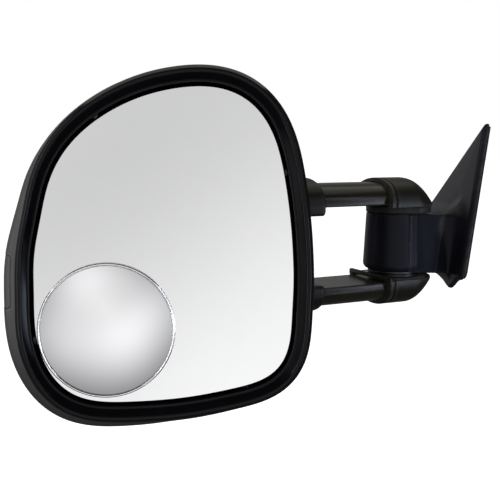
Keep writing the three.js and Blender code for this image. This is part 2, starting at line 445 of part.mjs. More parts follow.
const frameSolid = (() => {
  // post between the sleeves, and a beam reaching behind the centre of the glass
  let post = body(into(boxAt(-148, -104, -27, 27, -29.3, 26.4), armFrame, headFrame));
  const rooms = [[-24, -2], [2, 21]].map(([a, b]) => body(into(boxAt(-141, -111, -22, 40, a, b), armFrame, headFrame)));
  post = cut(post, ...rooms);
  const beam = body(prism([[-22, 38], [22, 38], [78, 44], [78, 60], [50, 66], [-22, 56]], -26, 12));
  const rib = cut(beam, body(prism([[-14, 43], [20, 43], [60, 48], [60, 56], [44, 60], [-14, 51]], -40, -4)));
  let f = join(post, cut(rib, ...rooms));
  f = cut(f, body(alongY(cyl(5.4, 30, 60, 20))));
  return f.intersect(skin(shellRings(SHELL_T + 0.5, 3)));
})();
// friction shoe that bears on the flat of the lower tube through a window, with its set screw
{
  const f = cut(frameSolid, body(into(boxAt(SHOE_X - 8, SHOE_X + 8, -8, 8, -32, -26.7), armFrame, headFrame)),
    body(into(at(cyl(3.3, -30, -22, 16), SHOE_X, 0, 0), armFrame, headFrame)));
  add(headFrame, 'head_frame', f, M.frame());
  add(headFrame, 'slide_lock_shoe', body(into(boxAt(SHOE_X - 7.6, SHOE_X + 7.6, -7.6, 7.6, -32.95, -27.2), armFrame, headFrame)), M.nylon());
  add(headFrame, 'slide_lock_screw', body(into(at(turned([[0, -26.9], [3, -26.9], [3, -23.6], [5.2, -23.6], [5.2, -19], [2.4, -19], [2.4, -21.5], [0, -21.5]], 12), SHOE_X, 0, 0), armFrame, headFrame)), M.steel());
}
// glass pivot: post in the frame, ball, and the cup on the carrier
{
  const P = PIVOT_W, R = 8.6;
  const ballAt = (g) => at(g, 0, P, 0);
  const rear = cut(body(alongY(turned([[0, P + 3.2], [10.6, P + 3.2], [11.4, P + 6], [9, P + 12], [5.1, P + 14], [5.1, P + 34], [0, P + 34]], 20))),
    body(ballAt(new THREE.SphereGeometry(R + 0.35, 20, 12))));
  add(headFrame, 'glass_pivot_post', rear, M.frame());
  add(headFrame, 'pivot_ball', body(ballAt(new THREE.SphereGeometry(R, 20, 12))), M.nylon());
  // carrier behind the glass with a stiffening rim and a cup for the ball
  const plate = body(prismY(rim(-1.6), 3.5, 5.7));
  const lip = cut(body(prismY(rim(-7), 5.4, 8.2)), body(prismY(rim(-10), 0, 20)));
  let cup = body(alongY(turned([[0, 5], [12, 5], [12.4, 9], [11.2, P - 3.2], [0, P - 3.2]], 16)));
  const ribs = [];
  for (let i = 0; i < 6; i++) ribs.push(body(boxAt(8, 84, 5.4, 8.2, -1.2, 1.2).rotateY((i * 60 + 30) * DEG)));
  let carrier = join(plate, lip, cup, ...ribs);
  carrier = cut(carrier, body(ballAt(new THREE.SphereGeometry(R + 0.35, 20, 12))));
  add(headFrame, 'glass_carrier', carrier, M.frame());
  add(headFrame, 'glass_tape', prismY(rim(-3), 3.05, 3.45 - 0.2), M.foam());
  // the glass itself, front face at y = 0
  add(headFrame, 'mirror_glass', prismY(rim(0), 0, 2.8), M.glass());
  // stick-on convex spot mirror
  const spot = (profile, n) => at(alongY(turned(profile, n)), SPOT.u, 0, SPOT.v);
  const dome = (r) => -2.0 - 5.2 * (1 - (r / 46) ** 2);
  const prof = [[0, -1.2], [45.4, -1.2]];
  for (const r of [45.4, 38, 29, 19, 9, 0]) prof.push([r, dome(r)]);
  add(headFrame, 'spot_mirror_pad', spot([[0, -1.0], [43, -1.0], [43, -0.3], [0, -0.3]], 24), M.foam());
  add(headFrame, 'spot_mirror', spot(prof, 36), M.glass());
  add(headFrame, 'spot_mirror_rim', spot([[45.8, -2.9], [46.6, -3.1], [SPOT.r, -2.2], [SPOT.r, -0.35], [44, -0.35], [44, -0.95], [45.8, -0.95]], 36), M.bright());
}

export default mirror;
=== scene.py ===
import json
import math

import bpy
import numpy as np
from mathutils import Matrix, Vector


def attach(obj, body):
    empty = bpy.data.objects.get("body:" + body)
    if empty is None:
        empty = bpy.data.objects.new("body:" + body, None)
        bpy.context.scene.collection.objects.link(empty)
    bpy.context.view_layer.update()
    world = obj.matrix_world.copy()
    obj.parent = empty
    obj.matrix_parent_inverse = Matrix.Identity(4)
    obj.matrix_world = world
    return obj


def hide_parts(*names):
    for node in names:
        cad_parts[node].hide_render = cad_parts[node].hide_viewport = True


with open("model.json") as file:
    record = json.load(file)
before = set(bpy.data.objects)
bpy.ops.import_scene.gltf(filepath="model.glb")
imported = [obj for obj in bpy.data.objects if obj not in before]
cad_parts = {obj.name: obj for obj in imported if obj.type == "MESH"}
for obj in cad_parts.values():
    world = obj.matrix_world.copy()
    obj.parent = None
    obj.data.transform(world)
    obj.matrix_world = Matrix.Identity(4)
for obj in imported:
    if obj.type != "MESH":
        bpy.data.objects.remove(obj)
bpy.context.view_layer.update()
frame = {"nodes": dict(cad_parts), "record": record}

DEG = math.pi / 180

# ------------------------------------------------------------------ the part's own frames, millimetres
SWEEP, TUMBLE, TILT = 18.4 * DEG, 9 * DEG, 2.4 * DEG
PIVOT = np.array([-67.3, -55.0, -8.0])
HEAD = np.array([-203.0, -123.4, 13.1])


def turn(axis, a):
    c, s = math.cos(a), math.sin(a)
    i, j = {"x": (1, 2), "y": (2, 0), "z": (0, 1)}[axis]
    m = np.eye(4)
    m[i, i], m[i, j], m[j, i], m[j, j] = c, -s, s, c
    return m


def shift(v):
    m = np.eye(4)
    m[:3, 3] = v
    return m


PIV = shift(PIVOT)
ARM = PIV @ turn("z", SWEEP)
HED = PIV @ shift(HEAD) @ turn("x", -TILT)
DOR = turn("y", TUMBLE)
FLIP = turn("x", math.pi)          # the lower arm is the upper one turned over


def xf(m, p):
    return p @ m[:3, :3].T + m[:3, 3]


# ------------------------------------------------------------------ meshes from arrays
def grid_quads(m, n, close_m, close_n):
    i = np.arange(m if close_m else m - 1)
    j = np.arange(n if close_n else n - 1)
    a = (i[:, None] * n + j[None, :]).ravel()
    b = (i[:, None] * n + (j[None, :] + 1) % n).ravel()
    c = (((i[:, None] + 1) % m) * n + j[None, :]).ravel()
    d = (((i[:, None] + 1) % m) * n + (j[None, :] + 1) % n).ravel()
    return np.stack([a, b, d, c], 1)


def loft(rings, cap0=True, cap1=True):
    """Rings (m, n, 3) closed round n, ends closed by fans."""
    m, n, _ = rings.shape
    v = rings.reshape(-1, 3)
    faces = [grid_quads(m, n, False, True)]
    j = np.arange(n)
    for on, k in ((cap0, 0), (cap1, m - 1)):
        if on:
            v = np.vstack([v, rings[k].mean(0)])
            a, b = k * n + j, k * n + (j + 1) % n
            c = np.full(n, len(v) - 1)
            faces.append(np.stack([b, a, c] if k == 0 else [a, b, c], 1))
    return v, faces


def torus(rings):
    m, n, _ = rings.shape
    return rings.reshape(-1, 3), [grid_quads(m, n, True, True)]


def lathe(profile, n=128, axis="z"):
    """A closed profile of (radius, height) turned round the axis. Radii of 0 share one point."""
    p = np.array(profile, float)
    a = np.arange(n) * 2 * math.pi / n
    ring = np.stack([np.cos(a), np.sin(a)], 1)
    pts = np.concatenate([np.concatenate([ring * r, np.full((n, 1), h)], 1)[None] for r, h in p])
    v, f = torus(pts)
    if axis == "y":                       # local z to +y
        v = np.stack([v[:, 0], v[:, 2], -v[:, 1]], 1)
    if axis == "x":
        v = np.stack([v[:, 2], v[:, 1], -v[:, 0]], 1)
    return v, f


def outward(v, faces):
    vol = 0.0
    for f in faces:
        for k in range(1, f.shape[1] - 1):
            vol += np.einsum("ij,ij->i", v[f[:, 0]], np.cross(v[f[:, k]], v[f[:, k + 1]])).sum()
    return faces if vol > 0 else [f[:, ::-1] for f in faces]


def piece(name, v, faces, m, body, material, replaces=(), angle=30, merge=1e-5, wear=True):
    v = xf(m, np.asarray(v, float)) * 0.001
    faces = outward(v, faces)
    me = bpy.data.meshes.new(name)
    me.vertices.add(len(v))
    me.vertices.foreach_set("co", v.astype(np.float32).ravel())
    me.loops.add(sum(f.size for f in faces))
    me.polygons.add(sum(len(f) for f in faces))
    me.loops.foreach_set("vertex_index", np.concatenate([f.ravel() for f in faces]).astype(np.int32))
    sizes = np.concatenate([np.full(len(f), f.shape[1]) for f in faces])
    me.polygons.foreach_set("loop_start", np.concatenate([[0], np.cumsum(sizes)[:-1]]).astype(np.int32))
    me.update(calc_edges=True)
    o = bpy.data.objects.new(name, me)
    bpy.context.scene.collection.objects.link(o)
    if merge:
        clean(o, merge)
    dress(o, body, material, replaces, angle, wear)
    return o


def clean(o, dist=1e-5):
    import bmesh
    bm = bmesh.new()
    bm.from_mesh(o.data)
    bmesh.ops.remove_doubles(bm, verts=bm.verts, dist=dist)
    bmesh.ops.dissolve_degenerate(bm, edges=bm.edges, dist=dist * 0.5)
    loose = [x for x in bm.verts if not x.link_faces]
    bmesh.ops.delete(bm, geom=loose, context="VERTS")
    bm.to_mesh(o.data)
    bm.free()


def dress(o, body, material, replaces=(), angle=30, wear=True):
    o.data.materials.clear()
    o.data.materials.append(material)
    o.data.polygons.foreach_set("use_smooth", np.ones(len(o.data.polygons), bool))
    o.data.set_sharp_from_angle(angle=angle * DEG)
    # edge values for paler edges: part rubbed wear, part painted highlight
    if wear:
        edge_wear_and_highlight(o)
    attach(o, body)
    if replaces:
        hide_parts(*replaces)


def edge_wear_and_highlight(o):
    """A 0 to 1 value on each vertex that rises on outside corners, for paler edges: part rubbed wear, part painted
    highlight.
    """
    me = o.data
    co = np.zeros(len(me.vertices) * 3, np.float32)
    me.vertices.foreach_get("co", co)
    co = co.reshape(-1, 3).astype(float)
    no = np.zeros(len(me.vertices) * 3, np.float32)
    me.vertices.foreach_get("normal", no)
    no = no.reshape(-1, 3).astype(float)
    e = np.zeros(len(me.edges) * 2, np.int32)
    me.edges.foreach_get("vertices", e)
    a, b = e.reshape(-1, 2).T
    d = co[b] - co[a]
    ln = np.linalg.norm(d, axis=1) + 1e-9
    bend = np.einsum("ij,ij->i", no[b] - no[a], d) / ln ** 2       # 1 / radius, per metre
    w = np.zeros(len(co))
    cnt = np.zeros(len(co))
    for i in (a, b):
        np.maximum.at(w, i, bend)
        np.add.at(cnt, i, 1)
    w = np.clip((w - 150) / 900, 0, 1)
    for _ in range(2):
        s = np.zeros(len(co))
        np.add.at(s, a, w[b])
        np.add.at(s, b, w[a])
        w = 0.5 * w + 0.5 * s / np.maximum(cnt, 1)
    at = me.attributes.get("edge_wear_and_highlight") or me.attributes.new("edge_wear_and_highlight", "FLOAT", "POINT")
    at.data.foreach_set("value", w.astype(np.float32))


def cut(o, tool, op="DIFFERENCE"):
    """Boolean with Blender's own solver, applied."""
    md = o.modifiers.new("cut", "BOOLEAN")
    md.operation, md.object, md.solver = op, tool, "EXACT"
    dg = bpy.context.evaluated_depsgraph_get()
    me = bpy.data.meshes.new_from_object(o.evaluated_get(dg))
    o.modifiers.clear()
    old = o.data
    o.data = me
    me.name = o.name
    bpy.data.meshes.remove(old)


def raw(name, v, faces, m):
    """A tool object with no place in the table."""
    v = xf(m, np.asarray(v, float)) * 0.001
    faces = outward(v, faces)
    me = bpy.data.meshes.new(name)
    me.from_pydata(v.tolist(), [], [tuple(int(i) for i in r) for f in faces for r in f])
    o = bpy.data.objects.new(name, me)
    bpy.context.scene.collection.objects.link(o)
    return o


def drop(*objs):
    for o in objs:
        me = o.data
        bpy.data.objects.remove(o)
        bpy.data.meshes.remove(me)


# ------------------------------------------------------------------ outlines
def fillet(pts, rad, n=6, closed=True, support=0.3):
    """Rounds the corners of a 2-D polyline. Extra points beside each arc keep flats flat when shaded."""
    out = []
    pts = [np.array(p, float) for p in pts]
    k = len(pts)
    for i, p in enumerate(pts):
        r = rad[i] if hasattr(rad, "__len__") else rad
        if r <= 0 or (not closed and i in (0, k - 1)):
            out.append(p)
            continue
        a, b = pts[i - 1], pts[(i + 1) % k]
        la, lb = np.linalg.norm(a - p), np.linalg.norm(b - p)
        u, w = (a - p) / la, (b - p) / lb
        half = math.acos(max(-1, min(1, float(u @ w)))) / 2
        if half > 89.5 * DEG:
            out.append(p)
            continue
        t = min(r / math.tan(half), 0.48 * la, 0.48 * lb)
        r = t * math.tan(half)
        c = p + (u + w) / np.linalg.norm(u + w) * (r / math.sin(half))
        s, e = p + u * t, p + w * t
        a0, a1 = math.atan2(*(s - c)[::-1]), math.atan2(*(e - c)[::-1])
        d = (a1 - a0 + math.pi) % (2 * math.pi) - math.pi
        if support and t * (1 + support) < 0.49 * la:
            out.append(p + u * t * (1 + support))
        for j in range(n + 1):
            g = a0 + d * j / n
            out.append(c + r * np.array([math.cos(g), math.sin(g)]))
        if support and t * (1 + support) < 0.49 * lb:
            out.append(p + w * t * (1 + support))
    return np.array(out)


GLASS_R = np.array([89.9, 89.8, 91.7, 95.4, 101.2, 108.3, 114.3, 117.0, 115.5, 111.6,
                    107.6, 104.2, 101.3, 99.0, 97.1, 95.2, 93.0, 90.6, 88.5, 88.2,
                    89.9, 92.5, 96.3, 102.8, 111.7, 118.5, 123.2, 121.2, 116.0, 111.9,
                    109.9, 109.8, 111.5, 115.1, 119.4, 118.5, 109.3, 100.9, 95.4, 91.5])
_c = np.fft.rfft(GLASS_R)
_k = np.arange(len(_c))
_c = _c * np.exp(-(_k / 15.0) ** 6)


def glass_radius(th):
    r = np.full(len(th), _c[0].real / 40)
    for k in range(1, len(_c)):
        r = r + 2 / 40 * (_c[k].real * np.cos(k * th) - _c[k].imag * np.sin(k * th))
    return r


def rim_curve(n):
    th = np.linspace(0, 2 * math.pi, 7200, endpoint=False)
    r = glass_radius(th)
    p = np.stack([r * np.cos(th), r * np.sin(th)], 1)
    t = np.roll(p, -6, 0) - np.roll(p, 6, 0)
    t /= np.linalg.norm(t, axis=1)[:, None]
    nm = np.stack([t[:, 1], -t[:, 0]], 1)
    s = np.concatenate([[0], np.cumsum(np.linalg.norm(np.roll(p, -1, 0) - p, axis=1))])
    want = np.arange(n) * s[-1] / n
    idx = np.searchsorted(s, want, side="right") - 1
    return p[idx], nm[idx]


RIM_P, RIM_N = rim_curve(336)


def rim(d):
    return RIM_P + RIM_N * d


def sweep_rim(sec):
    """A closed section of (outward from the glass edge, depth) carried round the glass outline."""
    return np.stack([np.concatenate([rim(d), np.full((len(RIM_P), 1), w)], 1)[:, [0, 2, 1]] for d, w in sec])


def dee(a, h, z0, lip=0.0, fil=1.2, n=64, off=0.0):
    """Closed D outline, (y, z), flat down at z0, always the same number of points."""
    a, h, z0 = a - off, h - 2 * off, z0 + off
    fil = max(min(fil, 0.3 * h), 0.02)
    top = max(lip, fil)
    half = []
    for q in (0.0, 0.35, 0.7, 0.96):
        half.append((q * (a - fil), z0))
    for j in range(7):
        g = -90 + 15 * j
        half.append((a - fil + fil * math.cos(g * DEG), z0 + fil + fil * math.sin(g * DEG)))
    m = n // 2
    for j in range(1, m + 1):
        t = math.pi / 2 * (j / m)
        # closer steps where the side starts to turn
        t = t * (0.35 + 0.65 * (j / m) ** 0.6)
        half.append((a * math.cos(t), z0 + top + (h - top) * math.sin(t) ** 0.8))
    right = np.array(half)
    left = right[1:-1][::-1] * np.array([-1, 1])
    return np.vstack([right, left])


def ring_x(yz, x):
    return np.concatenate([np.full((len(yz), 1), float(x)), yz], 1)


# ------------------------------------------------------------------ materials
class Paint:
    """One procedural material. The numbers that are the same all over sit on the shader's own sockets."""

    def __init__(self, name, metallic=0.0, specular=0.5, coat=0.0, coat_rough=0.05, ior=1.5):
        self.m = bpy.data.materials.new(name)
        self.m.use_nodes = True
        self.t = self.m.node_tree
        self.t.nodes.clear()
        self.out = self.t.nodes.new("ShaderNodeOutputMaterial")
        self.b = self.t.nodes.new("ShaderNodeBsdfPrincipled")
        self.t.links.new(self.b.outputs[0], self.out.inputs[0])
        self.b.inputs["Metallic"].default_value = metallic
        self.b.inputs["Specular IOR Level"].default_value = specular
        self.b.inputs["Coat Weight"].default_value = coat
        self.b.inputs["Coat Roughness"].default_value = coat_rough
        self.b.inputs["IOR"].default_value = ior
        self.co = self.t.nodes.new("ShaderNodeTexCoord").outputs["Object"]

    def link(self, a, b):
        self.t.links.new(a, b)

    def mapped(self, scale):
        n = self.t.nodes.new("ShaderNodeMapping")
        n.inputs["Scale"].default_value = scale
        self.link(self.co, n.inputs["Vector"])
        return n.outputs[0]

    def noise(self, scale, detail=2.0, rough=0.5, stretch=None, distortion=0.0):
        n = self.t.nodes.new("ShaderNodeTexNoise")
        n.inputs["Scale"].default_value = scale
        n.inputs["Detail"].default_value = detail
        n.inputs["Roughness"].default_value = rough
        n.inputs["Distortion"].default_value = distortion
        self.link(self.mapped(stretch) if stretch else self.co, n.inputs["Vector"])
        return n.outputs["Fac"]

    def cells(self, scale, feature="F1", rnd=1.0):
        n = self.t.nodes.new("ShaderNodeTexVoronoi")
        n.feature = feature
        n.inputs["Scale"].default_value = scale
        n.inputs["Randomness"].default_value = rnd
        self.link(self.co, n.inputs["Vector"])
        return n.outputs["Distance"]

    def attr(self, name):
        n = self.t.nodes.new("ShaderNodeAttribute")
        n.attribute_name = name
        return n.outputs["Fac"]

    def math(self, op, a, b=0.0, c=0.0, clamp=False):
        n = self.t.nodes.new("ShaderNodeMath")
        n.operation, n.use_clamp = op, clamp
        for i, x in enumerate((a, b, c)):
            if isinstance(x, (int, float)):
                n.inputs[i].default_value = x
            else:
                self.link(x, n.inputs[i])
        return n.outputs[0]

    def span(self, x, a, b, c, d):
        n = self.t.nodes.new("ShaderNodeMapRange")
        for i, v in enumerate((a, b, c, d)):
            n.inputs[i + 1].default_value = v
        self.link(x, n.inputs[0])
        return n.outputs[0]

    def mix(self, f, a, b):
        n = self.t.nodes.new("ShaderNodeMix")
        n.data_type = "RGBA"
        if isinstance(f, (int, float)):
            n.inputs[0].default_value = f
        else:
            self.link(f, n.inputs[0])
        for i, x in ((6, a), (7, b)):
            if isinstance(x, tuple):
                n.inputs[i].default_value = (*x, 1.0)
            else:
                self.link(x, n.inputs[i])
        return n.outputs[2]

    def bump(self, height, distance, strength=1.0, normal=None):
        n = self.t.nodes.new("ShaderNodeBump")
        n.inputs["Strength"].default_value = strength
        n.inputs["Distance"].default_value = distance
        self.link(height, n.inputs["Height"])
        if normal is not None:
            self.link(normal, n.inputs["Normal"])
        return n.outputs[0]

    def set(self, colour=None, rough=None, normal=None):
        for key, x in (("Base Color", colour), ("Roughness", rough), ("Normal", normal)):
            if x is None:
                continue
            if isinstance(x, tuple):
                self.b.inputs[key].default_value = (*x, 1.0)
            elif isinstance(x, (int, float)):
                self.b.inputs[key].default_value = x
            else:
                self.link(x, self.b.inputs[key])
        return self.m


def shade(c, k):
    return tuple(min(1.0, x * k) for x in c)


def moulded(name, base, rough, grain=900.0, depth=0.00004, vary=0.16, rub_and_highlight=(0.09, 0.088, 0.082), specular=0.5, spread=0.05):
    """Moulded black plastic: spark-eroded grain, cloudy gloss, paler edges that are part rubbed wear and part painted
    highlight.
    """
    p = Paint(name, specular=specular)
    cloud = p.noise(14, 4, 0.6)
    fleck = p.noise(260, 3, 0.65)
    c = p.mix(p.span(cloud, 0.3, 0.7, 0, 1), shade(base, 1 - vary), shade(base, 1 + vary))
    c = p.mix(p.span(fleck, 0.62, 0.78, 0, 0.35), c, shade(base, 1.9))
    # paler edges: part rubbed wear, part painted highlight
    w = p.math("MULTIPLY", p.attr("edge_wear_and_highlight"), p.span(p.noise(75, 3), 0.35, 0.65, 0.25, 1.0))
    c = p.mix(p.math("MULTIPLY", w, 0.5), c, rub_and_highlight)
    r = p.span(p.math("ADD", p.math("MULTIPLY", cloud, 0.6), p.math("MULTIPLY", fleck, 0.4)), 0.3, 0.7, rough - spread, rough + spread)
    r = p.math("SUBTRACT", r, p.math("MULTIPLY", w, 0.08))
    h = p.math("ADD", p.math("MULTIPLY", p.cells(grain), 0.8), p.math("MULTIPLY", p.noise(grain * 2.1, 2), 0.5))
    n = p.bump(h, depth, 0.8)
    n = p.bump(p.noise(22, 1), 0.0003, 0.25, n)
    return p.set(c, r, n)


def coated(name, base, rough, specular=0.5):
    """Satin black coating on aluminium: orange peel and fine dust nibs."""
    p = Paint(name, specular=specular)
    cloud = p.noise(10, 4, 0.6)
    c = p.mix(p.span(cloud, 0.3, 0.7, 0, 1), shade(base, 0.85), shade(base, 1.15))
    nib = p.span(p.cells(700), 0.0, 0.12, 1, 0)
    c = p.mix(p.math("MULTIPLY", nib, 0.25), c, shade(base, 3.0))
    # paler edges on the coating: part rubbed wear, part painted highlight
    w = p.attr("edge_wear_and_highlight")
    c = p.mix(p.math("MULTIPLY", w, 0.35), c, (0.12, 0.115, 0.1))
    r = p.span(p.noise(48, 3, 0.7), 0.3, 0.7, rough - 0.035, rough + 0.035)
    n = p.bump(p.noise(420, 1.5), 0.000035, 0.7)
    n = p.bump(nib, 0.00001, 0.35, n)
    return p.set(c, r, n)


def gloss(name, base, rough):
    """High-gloss black plastic: soft waviness from moulding, faint wiping haze."""
    p = Paint(name, specular=0.12)
    haze = p.noise(30, 5, 0.7, stretch=(1.0, 1.0, 0.45), distortion=0.6)
    c = p.mix(p.span(haze, 0.35, 0.7, 0, 1), base, shade(base, 1.6))
    # paler edges: part rubbed wear, part painted highlight
    w = p.attr("edge_wear_and_highlight")
    c = p.mix(p.math("MULTIPLY", w, 0.18), c, (0.05, 0.05, 0.055))
    r = p.span(haze, 0.35, 0.75, rough, rough + 0.06)
    n = p.bump(p.noise(55, 1), 0.00006, 0.25)
    n = p.bump(p.noise(900, 2), 0.000004, 0.3, n)
    return p.set(c, r, n)


def metal(name, base, rough, grain=600.0, depth=0.00002, streak=None, vary=0.12):
    p = Paint(name, metallic=1.0)
    cloud = p.noise(40, 4, 0.6)
    c = p.mix(p.span(cloud, 0.3, 0.7, 0, 1), shade(base, 1 - vary), shade(base, 1 + vary))
    # lighter edges: part rubbed wear, part painted highlight
    w = p.attr("edge_wear_and_highlight")
    c = p.mix(p.math("MULTIPLY", w, 0.5), c, shade(base, 1.5))
    fine = p.noise(grain, 3, 0.6, stretch=streak)
    r = p.span(fine, 0.3, 0.7, rough - 0.07, rough + 0.09)
    return p.set(c, r, p.bump(fine, depth, 0.8))


def silver(name, tint, rough, haze_scale=24):
    """Silvered glass: almost flawless, with a trace of wiping haze and float ripple."""
    p = Paint(name, metallic=1.0)
    haze = p.noise(haze_scale, 5, 0.75, distortion=0.8)
    c = p.mix(p.span(haze, 0.35, 0.75, 0, 1), tint, shade(tint, 0.985))
    r = p.span(haze, 0.45, 0.8, rough, rough + 0.03)
    n = p.bump(p.noise(7, 1), 0.00002, 0.2)
    return p.set(c, r, n)


def soft(name, base, rough, scale=1400.0, depth=0.00008):
    p = Paint(name, specular=0.3)
    cell = p.cells(scale)
    c = p.mix(p.span(p.noise(90, 4), 0.3, 0.7, 0, 1), shade(base, 0.8), shade(base, 1.25))
    r = p.span(p.noise(300, 2), 0.3, 0.7, rough - 0.06, rough + 0.05)
    return p.set(c, r, p.bump(cell, depth, 0.9))


MAT = {
    "mount_black": moulded("mount_black", (0.0115, 0.0120, 0.0185), 0.38, grain=1100, depth=0.00003, specular=0.11),
    "shell_black": moulded("shell_black", (0.030, 0.0265, 0.0255), 0.52, grain=850, depth=0.00006),
    "cover_black": moulded("cover_black", (0.0150, 0.0140, 0.0112), 0.31, grain=1300, depth=0.00002, spread=0.04, specular=0.10),
    "frame_black": moulded("frame_black", (0.005, 0.005, 0.0055), 0.55, grain=700, depth=0.00005, specular=0.1),
    "bezel_gloss": gloss("bezel_gloss", (0.0022, 0.0020, 0.0028), 0.13),
    "tube_black": coated("tube_black", (0.0190, 0.0172, 0.0130), 0.20, specular=0.14),
    "cast_alloy": metal("cast_alloy", (0.46, 0.46, 0.47), 0.5, grain=500, depth=0.00009),
    "steel": metal("steel", (0.035, 0.035, 0.037), 0.42, grain=900, streak=(1, 1, 14)),
    "zinc_steel": metal("zinc_steel", (0.34, 0.335, 0.31), 0.34, grain=1500),
    "brass": metal("brass", (0.70, 0.53, 0.25), 0.28, grain=1200, streak=(14, 1, 1)),
    "rubber": soft("rubber", (0.017, 0.017, 0.017), 0.8),
    "foam": soft("foam", (0.03, 0.03, 0.032), 0.9, scale=2200),
    "nylon": soft("nylon", (0.72, 0.69, 0.60), 0.5, scale=3000, depth=0.00001),
    "mirror": silver("mirror", (0.70, 0.702, 0.706), 0.012),
    "bright_rim": metal("bright_rim", (0.86, 0.86, 0.87), 0.2, grain=2500, depth=0.000004, vary=0.03),
}


def spot_silver_painted_falloff():
    """Bent silvered glass with a painted reflection: the colour runs from near white at the centre to dark grey at the
    edge, standing in for the reflection falling off with the radius.
    """
    p = Paint("spot_silver_painted_falloff", metallic=1.0)
    c0 = HED[:3, :3] @ np.array([-44.0, -4.0, -40.5]) + HED[:3, 3]
    v = p.t.nodes.new("ShaderNodeVectorMath")
    v.operation = "DISTANCE"
    p.link(p.co, v.inputs[0])
    v.inputs[1].default_value = tuple(float(x) * 0.001 for x in c0)
    k = p.math("DIVIDE", v.outputs["Value"], 0.061, clamp=True)
    haze = p.noise(40, 5, 0.75, distortion=0.8)
    # painted reflection falloff: bright centre fading to a dark edge
    c = p.mix(k, (0.97, 0.97, 0.98), (0.36, 0.36, 0.375))
    return p.set(c, p.span(haze, 0.45, 0.8, 0.016, 0.045), p.bump(p.noise(7, 1), 0.00002, 0.2))


SPOT_SILVER_PAINTED_FALLOFF = spot_silver_painted_falloff()

subpart_slot = {s["node"]: s["material_slot"] for s in frame["record"]["subparts"]}
for node, obj in frame["nodes"].items():
    obj.data.materials.clear()
    obj.data.materials.append(MAT[subpart_slot[node]])
    obj.data.polygons.foreach_set("use_smooth", np.ones(len(obj.data.polygons), bool))
    obj.data.set_sharp_from_angle(angle=32 * DEG)

# ------------------------------------------------------------------ camera
CAM = Vector((-0.277786, -0.707348, 0.071729))
YAW, PITCH = 7.14 * DEG, 7.53 * DEG
look = Vector((math.sin(YAW) * math.cos(PITCH), math.cos(YAW) * math.cos(PITCH), -math.sin(PITCH)))
cam = bpy.data.cameras.new("camera")
cam.lens, cam.sensor_width = 54.70, 36.0
cam.clip_start, cam.clip_end = 0.01, 60
cam_obj = bpy.data.objects.new("camera", cam)
cam_obj.location = CAM
cam_obj.rotation_mode = "QUATERNION"
cam_obj.rotation_quaternion = look.to_track_quat("-Z", "Y")
bpy.context.scene.collection.objects.link(cam_obj)
bpy.context.scene.camera = cam_obj

# ------------------------------------------------------------------ glass, spot mirror
g = sweep_rim([(-0.7, 0.0), (-0.1, 0.45), (0.0, 0.9), (0.0, 2.2), (-0.5, 2.8)])
v, f = loft(g)
piece("mirror_glass_pane", v, f, HED, "glass", MAT["mirror"], ["mirror_glass"], angle=12)

SPOT = np.array([-42.0, 0.0, -58.3])
n_spot = 192
prof = [(0.0, -1.2), (20, -1.2), (44.9, -1.2), (45.4, -1.5), (45.45, -1.95)]
for r in (45.2, 44.6, 43, 40, 36, 32, 28, 24, 20, 16, 12, 8, 4, 0.0):
    prof.append((r, -2.0 - 5.2 * (1 - (r / 46) ** 2)))
v, f = lathe(prof, n_spot, "y")
piece("spot_mirror_lens", v + SPOT, f, HED, "glass", SPOT_SILVER_PAINTED_FALLOFF, ["spot_mirror"], angle=25)
prof = fillet([(45.75, -2.5), (46.4, -3.15), (47.5, -2.3), (47.5, -0.35), (44, -0.35), (44, -0.95), (45.75, -0.95)],
              [0.25, 0.6, 0.7, 0.2, 0.1, 0.1, 0.1], 5)
v, f = lathe(prof, n_spot, "y")
piece("spot_mirror_edge", v + SPOT, f, HED, "glass", MAT["bright_rim"], ["spot_mirror_rim"], angle=40)

# ------------------------------------------------------------------ bezel
sec = fillet([(2.2, 3.0), (2.05, -3.3), (3.25, -3.45), (3.75, -3.0), (9.9, -9.15), (13.75, -3.6), (13.7, 3.0)],
             [0.3, 0.55, 0.45, 1.6, 2.3, 2.2, 0.4], 9)
# the ring narrows along its outboard side
_bk = 1 - 0.2 * np.maximum(0, -np.cos(np.arctan2(RIM_P[:, 1], RIM_P[:, 0]))) ** 1.5
rings = []
for d, w in sec:
    e = np.full(len(RIM_P), d) if d < 2.3 else 2.3 + (d - 2.3) * _bk
    q = RIM_P + RIM_N * e[:, None]
    rings.append(np.stack([q[:, 0], np.full(len(q), w), q[:, 1]], 1))
v, f = torus(np.stack(rings))
piece("bezel_ring", v, f, HED, "head", MAT["bezel_gloss"], ["bezel"], angle=60)


# ------------------------------------------------------------------ head shell
def flare(th):
    c, s = np.cos(th), np.sin(th)
    full = 3 + 9 * np.maximum(0, -c) ** 0.8 + 6.5 * np.maximum(0, -s) ** 1.2 * (1 - 0.35 * np.maximum(0, -c))
    # the upper outboard corner keeps close to the bezel
    return full - np.interp(np.degrees(th) % 360, [96, 102, 108, 114, 120, 126, 132, 138, 144, 150, 156, 162, 168, 174, 180, 188, 198],
                            [0, 0.6, 1.4, 2.4, 3.3, 4.1, 4.7, 5.1, 5.1, 4.7, 4.4, 4.1, 3.4, 2.6, 1.6, 0.6, 0])


def smooth_knots(x, xs, ys):
    """Monotone-ish cubic through knots."""
    xs, ys = np.array(xs, float), np.array(ys, float)
    m = np.gradient(ys, xs)
    i = np.clip(np.searchsorted(xs, x) - 1, 0, len(xs) - 2)
    h = xs[i + 1] - xs[i]
    t = np.clip((x - xs[i]) / h, 0, 1)
    return ((2 * t ** 3 - 3 * t ** 2 + 1) * ys[i] + (t ** 3 - 2 * t ** 2 + t) * h * m[i]
            + (-2 * t ** 3 + 3 * t ** 2) * ys[i + 1] + (t ** 3 - t ** 2) * h * m[i + 1])


SHELL_N = 288
_sp, _sn = rim_curve(SHELL_N)


